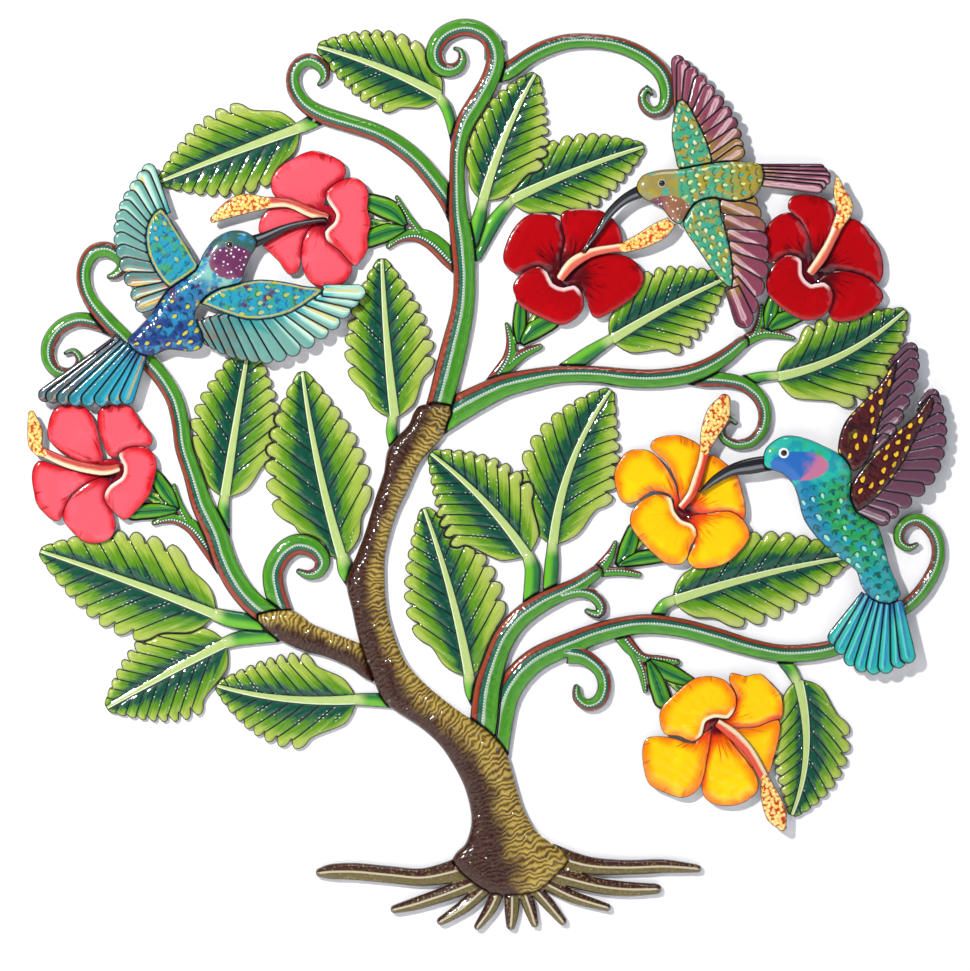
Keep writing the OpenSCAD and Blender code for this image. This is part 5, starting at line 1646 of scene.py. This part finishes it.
def build_wing(name, finish):
    s = sizes()
    _, feathers, middle = WINGS[name]
    n = feathers[2]

    def parts_of(depth):
        level = np.clip(steps(depth, WING_FACE, FEATHER_STEP), OUTSIDE, n)
        part = np.where(depth > WING_FACE - 0.1, level, OUTSIDE)
        part = np.where(depth > WING_FACE + FEATHER_STEP * n + 0.4, n, part)
        return tabs_at(BIRD_BACK, depth, part)

    sheet = Sheet(name, parts_of, mm(s.gap) * 0.8)
    along, left, half, _ = Line(middle).locate(sheet.p)
    covert = sheet.layer == n
    reach = 0.45 + 0.0 * along
    for i, line in enumerate(quill_lines(feathers)):
        mine = sheet.layer == i
        q_along, q_left, q_half, _ = line.locate(sheet.p[mine])
        along[mine], left[mine], half[mine] = q_along, q_left, q_half
        reach[mine] = q_along / line.length
    inner = np.minimum(1.0, sheet.layer / (n - 1))
    if name in INNER_FIRST:
        inner = 1.0 - inner
    rim = 1.2
    depth = WING_BACK + rim + 0.13 * sheet.layer + np.where(
        covert, 2.2 * dome(sheet.edge / 6.0) + 0.5, 1.3 * dome(sheet.edge / 4.0))
    depth += np.where(covert, 0.25 * wobble(*sheet.p.T, 6.0), -0.35 * np.exp(-(left / 0.9)**2))
    depth -= 0.5 * soft(sheet.cover, 2.0, 0.0)
    fields = {
        "along": along, "across": left, "half": np.maximum(half, 2.0), "reach": reach,
        "part": sheet.layer.astype(float), "quills": (~covert).astype(float),
        "mark": zeros(sheet), "throat": zeros(sheet), "inner": inner,
    }
    make_shell(name, sheet, depth, WING_BACK, fields, finish)


def build_bird(bird, finish):
    s = sizes()
    name = f"bird_{bird + 1}_body"
    n = TAILS[bird][2]

    def parts_of(depth):
        level = np.clip(steps(depth, TAIL_FACE, FEATHER_STEP), OUTSIDE, n)
        part = np.where(depth > TAIL_FACE - 0.2, level, OUTSIDE)
        return np.where(depth > BODY_FACE, n + 1, part)

    sheet = Sheet(name, parts_of, mm(s.gap) * 0.8)
    spine = Line(SPINES[bird])
    along, left, half, _ = spine.locate(sheet.p)
    reach = along / spine.length
    body = sheet.layer == n + 1
    bill_along, bill_left, bill_half, bill_away = Line(BEAKS[bird]).locate(sheet.p)
    bill = (sheet.layer == 0) & (bill_away < bill_half + 1.0)
    quills = ~body & ~bill
    for i, line in enumerate(quill_lines(TAILS[bird])):
        mine = quills & (sheet.layer == i)
        if mine.any():
            q_along, q_left, q_half, _ = line.locate(sheet.p[mine])
            along[mine], left[mine], half[mine] = q_along, q_left, q_half
            reach[mine] = q_along / line.length
    along, left, half = swapped(bill, (bill_along, bill_left, bill_half), (along, left, half))
    rim = 1.4
    feather = 1.6 * dome(sheet.edge / 4.0) + 0.12 * sheet.layer
    depth = BIRD_BACK + rim + np.where(body, 5.0 * dome(sheet.edge / 15.0), feather)
    size = LOOKS[bird]["scale"]
    u, v = along / size, left / size * 0.85 + 0.5 * (np.floor(along / size) % 2)
    across = v - np.floor(v) - 0.5
    down = u - np.floor(u)
    lift = 0.35 * soft(np.abs(down - 0.28 - 1.7 * across**2), 0.02, 0.35) * soft(reach, 0.3, 0.4)
    depth += np.where(body, lift * soft(sheet.edge, 1.0, 4.0), 0.0)
    bill_round = dome(sheet.edge / np.maximum(bill_half, 1.5))
    depth = np.where(bill, BIRD_BACK + 1.0 + 2.6 * bill_round, depth)
    depth -= np.where(quills, 0.35 * np.exp(-(left / 0.9)**2), 0.0)
    throat = THROAT_PATCHES[bird]
    t = np.linalg.norm((sheet.p - np.array(throat[:2])) / np.array(throat[2:]), axis=1)
    fields = {
        "along": along, "across": left, "half": np.maximum(half, 1.0), "reach": reach,
        "part": sheet.layer.astype(float), "quills": quills.astype(float),
        "mark": bill.astype(float), "throat": np.where(body, soft(t, 1.3, 0.8), 0.0),
        "inner": np.where(quills, 1 - sheet.layer / (n - 1), 0.0),
    }
    make_shell(name, sheet, depth, BIRD_BACK, fields, finish)


def eye_paint():
    p = Paint("enamel_eye")
    dusty = p.ease(p.noise(p.place(), 0.8), 0.5, 0.7)
    colour = p.mix(dusty, (0.006, 0.006, 0.008), (0.02, 0.018, 0.016))
    colour = p.mix(p.field("ring"), colour, (0.85, 0.85, 0.80))
    return p.finish(colour, gloss=0.05, coat=1.0)


def build_eye(bird, finish):
    """Domed eye in a raised ring."""
    x, z = EYES[bird]
    base = BIRD_BACK + 5.4
    rim = RING_RADIUS[bird]
    ring_form = [[rim, 0], [rim, 1.3], [rim - 0.3, 1.7], [3.0, 1.7], [2.8, 1.3]]
    ball_form = [[2.9, 0], [2.9, 1.3], [2.6, 1.9], [2.0, 2.4], [1.1, 2.7], [0.4, 2.8]]
    ring = turned(x, z, base, ring_form, 28)
    ball = turned(x, z, base, ball_form, 28)
    co = np.vstack([ring[0], ball[0]])
    faces = ring[1] + [[len(ring[0]) + i for i in f] for f in ball[1]]
    pale = np.concatenate([np.full(len(ring[0]), RING_PALENESS[bird]), np.zeros(len(ball[0]))])
    values = {"ring": pale, "side": np.zeros(len(co))}
    obj = piece(f"bird_{bird + 1}_eye", co, faces, values, 60, finish)
    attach(obj, "root")


# ---- stage ----


def plane(name, corners, material):
    mesh = bpy.data.meshes.new(name)
    mesh.from_pydata(corners, [], [list(range(len(corners)))])
    mesh.materials.append(material)
    linked(name, mesh)


def stage_material(name, colour, one_sided):
    """Pale matt surface. A one-sided wall can be looked and lit through from behind."""
    p = Paint(name)
    diffuse = p.node("ShaderNodeBsdfDiffuse", None, {"Color": colour})
    if not one_sided:
        p.show(diffuse)
        return p.material
    behind = p.node("ShaderNodeNewGeometry").outputs["Backfacing"]
    shadow = p.node("ShaderNodeLightPath").outputs["Is Shadow Ray"]
    clear = p.node("ShaderNodeBsdfTransparent")
    p.show(p.node("ShaderNodeMixShader", None, {
        0: p.high(behind, shadow), 1: diffuse.outputs[0], 2: clear.outputs[0]}))
    return p.material


def lamp(name, location, aim, size, power, colour):
    data = bpy.data.lights.new(name, "AREA")
    data.shape = "DISK"
    data.size = size
    data.energy = power
    data.color = colour
    obj = linked(name, data)
    obj.location = location
    obj.rotation_euler = (Vector(aim) - Vector(location)).to_track_quat("-Z", "Y").to_euler()


def studio_air():
    """World that looks pale from the camera and gives a faint blue light."""
    world = bpy.data.worlds.new("studio")
    w = Nodes(world, "ShaderNodeOutputWorld")
    seen = w.node("ShaderNodeBackground", None, {0: (0.90, 0.90, 0.91)})
    light = w.node("ShaderNodeBackground", None, {0: (0.60, 0.68, 1.0), 1: 0.10})
    looked_at = w.node("ShaderNodeLightPath").outputs["Is Camera Ray"]
    w.show(w.node("ShaderNodeMixShader", None, {
        0: looked_at, 1: light.outputs[0], 2: seen.outputs[0]}))
    return world


def square_on_camera(away, width, middle):
    """Camera facing the wall, with a view of this width in metres at its distance."""
    data = bpy.data.cameras.new("camera")
    data.sensor_width = 36.0
    data.lens = data.sensor_width * away / width
    data.clip_end = 40.0
    camera = linked("camera", data)
    camera.location = middle
    camera.rotation_euler = (math.radians(90), 0, 0)
    return camera


# ---- operators ----


class PLAQUE_OT_vines(bpy.types.Operator):
    """Rounded vines with a rust edge, a dark stripe and a row of stamped beads"""

    bl_idname = "plaque.vines"
    bl_label = "Vines"

    def execute(self, context):
        finish = vine_paint()
        for name in VINES:
            build_vine(name, finish)
        return {"FINISHED"}


class PLAQUE_OT_leaves(bpy.types.Operator):
    """Lobed leaves with a raised midrib and chased side veins"""

    bl_idname = "plaque.leaves"
    bl_label = "Leaves"

    def execute(self, context):
        finish = leaf_paint()
        for name in LEAVES:
            build_leaf(name, finish)
        return {"FINISHED"}


class PLAQUE_OT_trunk(bpy.types.Operator):
    """Ridged trunk and limb, and the spread of roots"""

    bl_idname = "plaque.trunk"
    bl_label = "Trunk, Limb and Roots"

    def execute(self, context):
        finish = bark_paint()
        build_trunk("trunk_with_roots", finish)
        build_trunk("left_limb", finish)
        return {"FINISHED"}


class PLAQUE_OT_flowers(bpy.types.Operator):
    """Hibiscus flowers: calyx, petals and stamen of each"""

    bl_idname = "plaque.flowers"
    bl_label = "Flowers"

    def execute(self, context):
        c = colours()
        green = calyx_paint()
        # In each petal paint, the colour after the rim width tints the throat and paints the shade
        # under overlapping petals, and the last colour paints the highlight on the lip's rolled rim
        petals = {
            "petal_pink": petal_paint(
                "enamel_pink", c.pink, c.pink_edge, 8.0, (0.40, 0.002, 0.012), 23.0, 0.05,
                (0.92, 0.62, 0.52)),
            "petal_red": petal_paint(
                "enamel_red", c.red, (0.36, 0.0, 0.002), 6.5, c.red_shade, 33.0, 0.07,
                (0.90, 0.60, 0.58)),
            "petal_yellow": petal_paint(
                "enamel_yellow", c.yellow, c.yellow_edge, 12.0, (0.70, 0.03, 0.001), 29.0, 0.07,
                (0.92, 0.80, 0.50)),
        }
        tints = {
            "pink": ((0.55, 0.07, 0.05), (0.50, 0.06, 0.01)),
            "red": ((0.70, 0.12, 0.07), (0.62, 0.05, 0.01)),
            "yellow": ((0.66, 0.05, 0.02), (0.48, 0.03, 0.01)),
        }
        stamens = {
            "petal_" + key: stamen_paint("enamel_stamen_" + key, c.cream, *pair)
            for key, pair in tints.items()
        }
        for k, slot in enumerate(["petal_pink"] * 2 + ["petal_red"] * 2 + ["petal_yellow"] * 2):
            build_calyx(k, green)
            build_corolla(k, petals[slot])
            build_stamen(k, stamens[slot])
        return {"FINISHED"}


class PLAQUE_OT_birds(bpy.types.Operator):
    """Hummingbirds: body with bill and tail, two wings and an eye each"""

    bl_idname = "plaque.birds"
    bl_label = "Hummingbirds"

    def execute(self, context):
        eye = eye_paint()
        for bird, slot in enumerate(BIRD_SLOTS):
            body = plumage(f"enamel_bird_{bird + 1}", {**LOOKS[bird], **TAIL_LOOKS[bird]})
            wing = plumage(f"enamel_wings_{bird + 1}", {**LOOKS[bird], **WING_LOOKS[bird]})
            build_bird(bird, body)
            for name in [w for w in WINGS if WINGS[w][0] == bird]:
                build_wing(name, wing)
            build_eye(bird, eye)
        return {"FINISHED"}


class PLAQUE_OT_fixings(bpy.types.Operator):
    """Bare steel of the hanging strap, rivets and posts"""

    bl_idname = "plaque.fixings"
    bl_label = "Strap and Rivets"

    def execute(self, context):
        finish = steel_paint()
        for name in ("hanging_strap", "stem_rivets", "flower_posts", "bird_posts"):
            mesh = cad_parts[name].data
            mesh.materials.clear()
            mesh.materials.append(finish)
        return {"FINISHED"}


class PLAQUE_OT_stage(bpy.types.Operator):
    """Pale floor and wall, soft studio lights and the camera"""

    bl_idname = "plaque.stage"
    bl_label = "Stage"

    def execute(self, context):
        low, high = steel_box
        left, right, wall_y = -2.2, 2.2, 0.0015
        foot, top, reach = low.z - 0.14, high.z + 0.9, 7
        wall = stage_material("pale_wall", (0.93, 0.93, 0.94), True)
        floor = stage_material("pale_floor", (0.86, 0.86, 0.87), False)
        plane("stage_wall", [(left, wall_y, foot), (right, wall_y, foot), (right, wall_y, top),
                             (left, wall_y, top)], wall)
        plane("stage_floor", [(-reach, -reach, foot), (reach, -reach, foot), (reach, reach, foot),
                              (-reach, reach, foot)], floor)
        aim = (-0.01, 0, -0.40)
        lamp("key", (-1.35, -2.6, 0.72), aim, 0.20, 88.0, (1.0, 0.985, 0.96))
        lamp("fill", (1.7, -2.6, 0.1), aim, 1.6, 7.0, (0.72, 0.82, 1.0))
        lamp("top", (0.1, -1.5, 1.6), aim, 0.7, 9.0, (1.0, 1.0, 1.0))
        lamp("rear", (0.9, 2.6, 0.6), aim, 1.4, 90.0, (1.0, 1.0, 1.0))
        scene = context.scene
        scene.world = studio_air()
        scene.view_settings.view_transform = "Standard"
        scene.camera = square_on_camera(6.0, 0.902, (-0.0091, -6.008, -0.4051))
        return {"FINISHED"}


class PLAQUE_PT_panel(bpy.types.Panel):
    """Lists the plaque's pieces in the order in which they are made"""

    bl_idname = "PLAQUE_PT_panel"
    bl_label = "Tree of Life Plaque"
    bl_space_type = "VIEW_3D"
    bl_region_type = "UI"
    bl_category = "Plaque"

    def draw(self, context):
        for operator in OPERATORS:
            self.layout.operator(operator.bl_idname)
        for group in (context.scene.plaque_sizes, context.scene.plaque_colours):
            box = self.layout.box()
            for name in group.__annotations__:
                box.prop(group, name)


OPERATORS = (PLAQUE_OT_trunk, PLAQUE_OT_vines, PLAQUE_OT_leaves, PLAQUE_OT_flowers, PLAQUE_OT_birds,
             PLAQUE_OT_fixings, PLAQUE_OT_stage)
CLASSES = (PLAQUE_PG_sizes, PLAQUE_PG_colours, *OPERATORS, PLAQUE_PT_panel)


def register():
    for cls in CLASSES:
        bpy.utils.register_class(cls)
    bpy.types.Scene.plaque_sizes = bpy.props.PointerProperty(type=PLAQUE_PG_sizes)
    bpy.types.Scene.plaque_colours = bpy.props.PointerProperty(type=PLAQUE_PG_colours)


def unregister():
    del bpy.types.Scene.plaque_colours
    del bpy.types.Scene.plaque_sizes
    for cls in reversed(CLASSES):
        bpy.utils.unregister_class(cls)


def main():
    register()
    bpy.ops.plaque.trunk()
    bpy.ops.plaque.vines()
    bpy.ops.plaque.leaves()
    bpy.ops.plaque.flowers()
    bpy.ops.plaque.birds()
    bpy.ops.plaque.fixings()
    bpy.ops.plaque.stage()


if __name__ == "__main__":
    main()
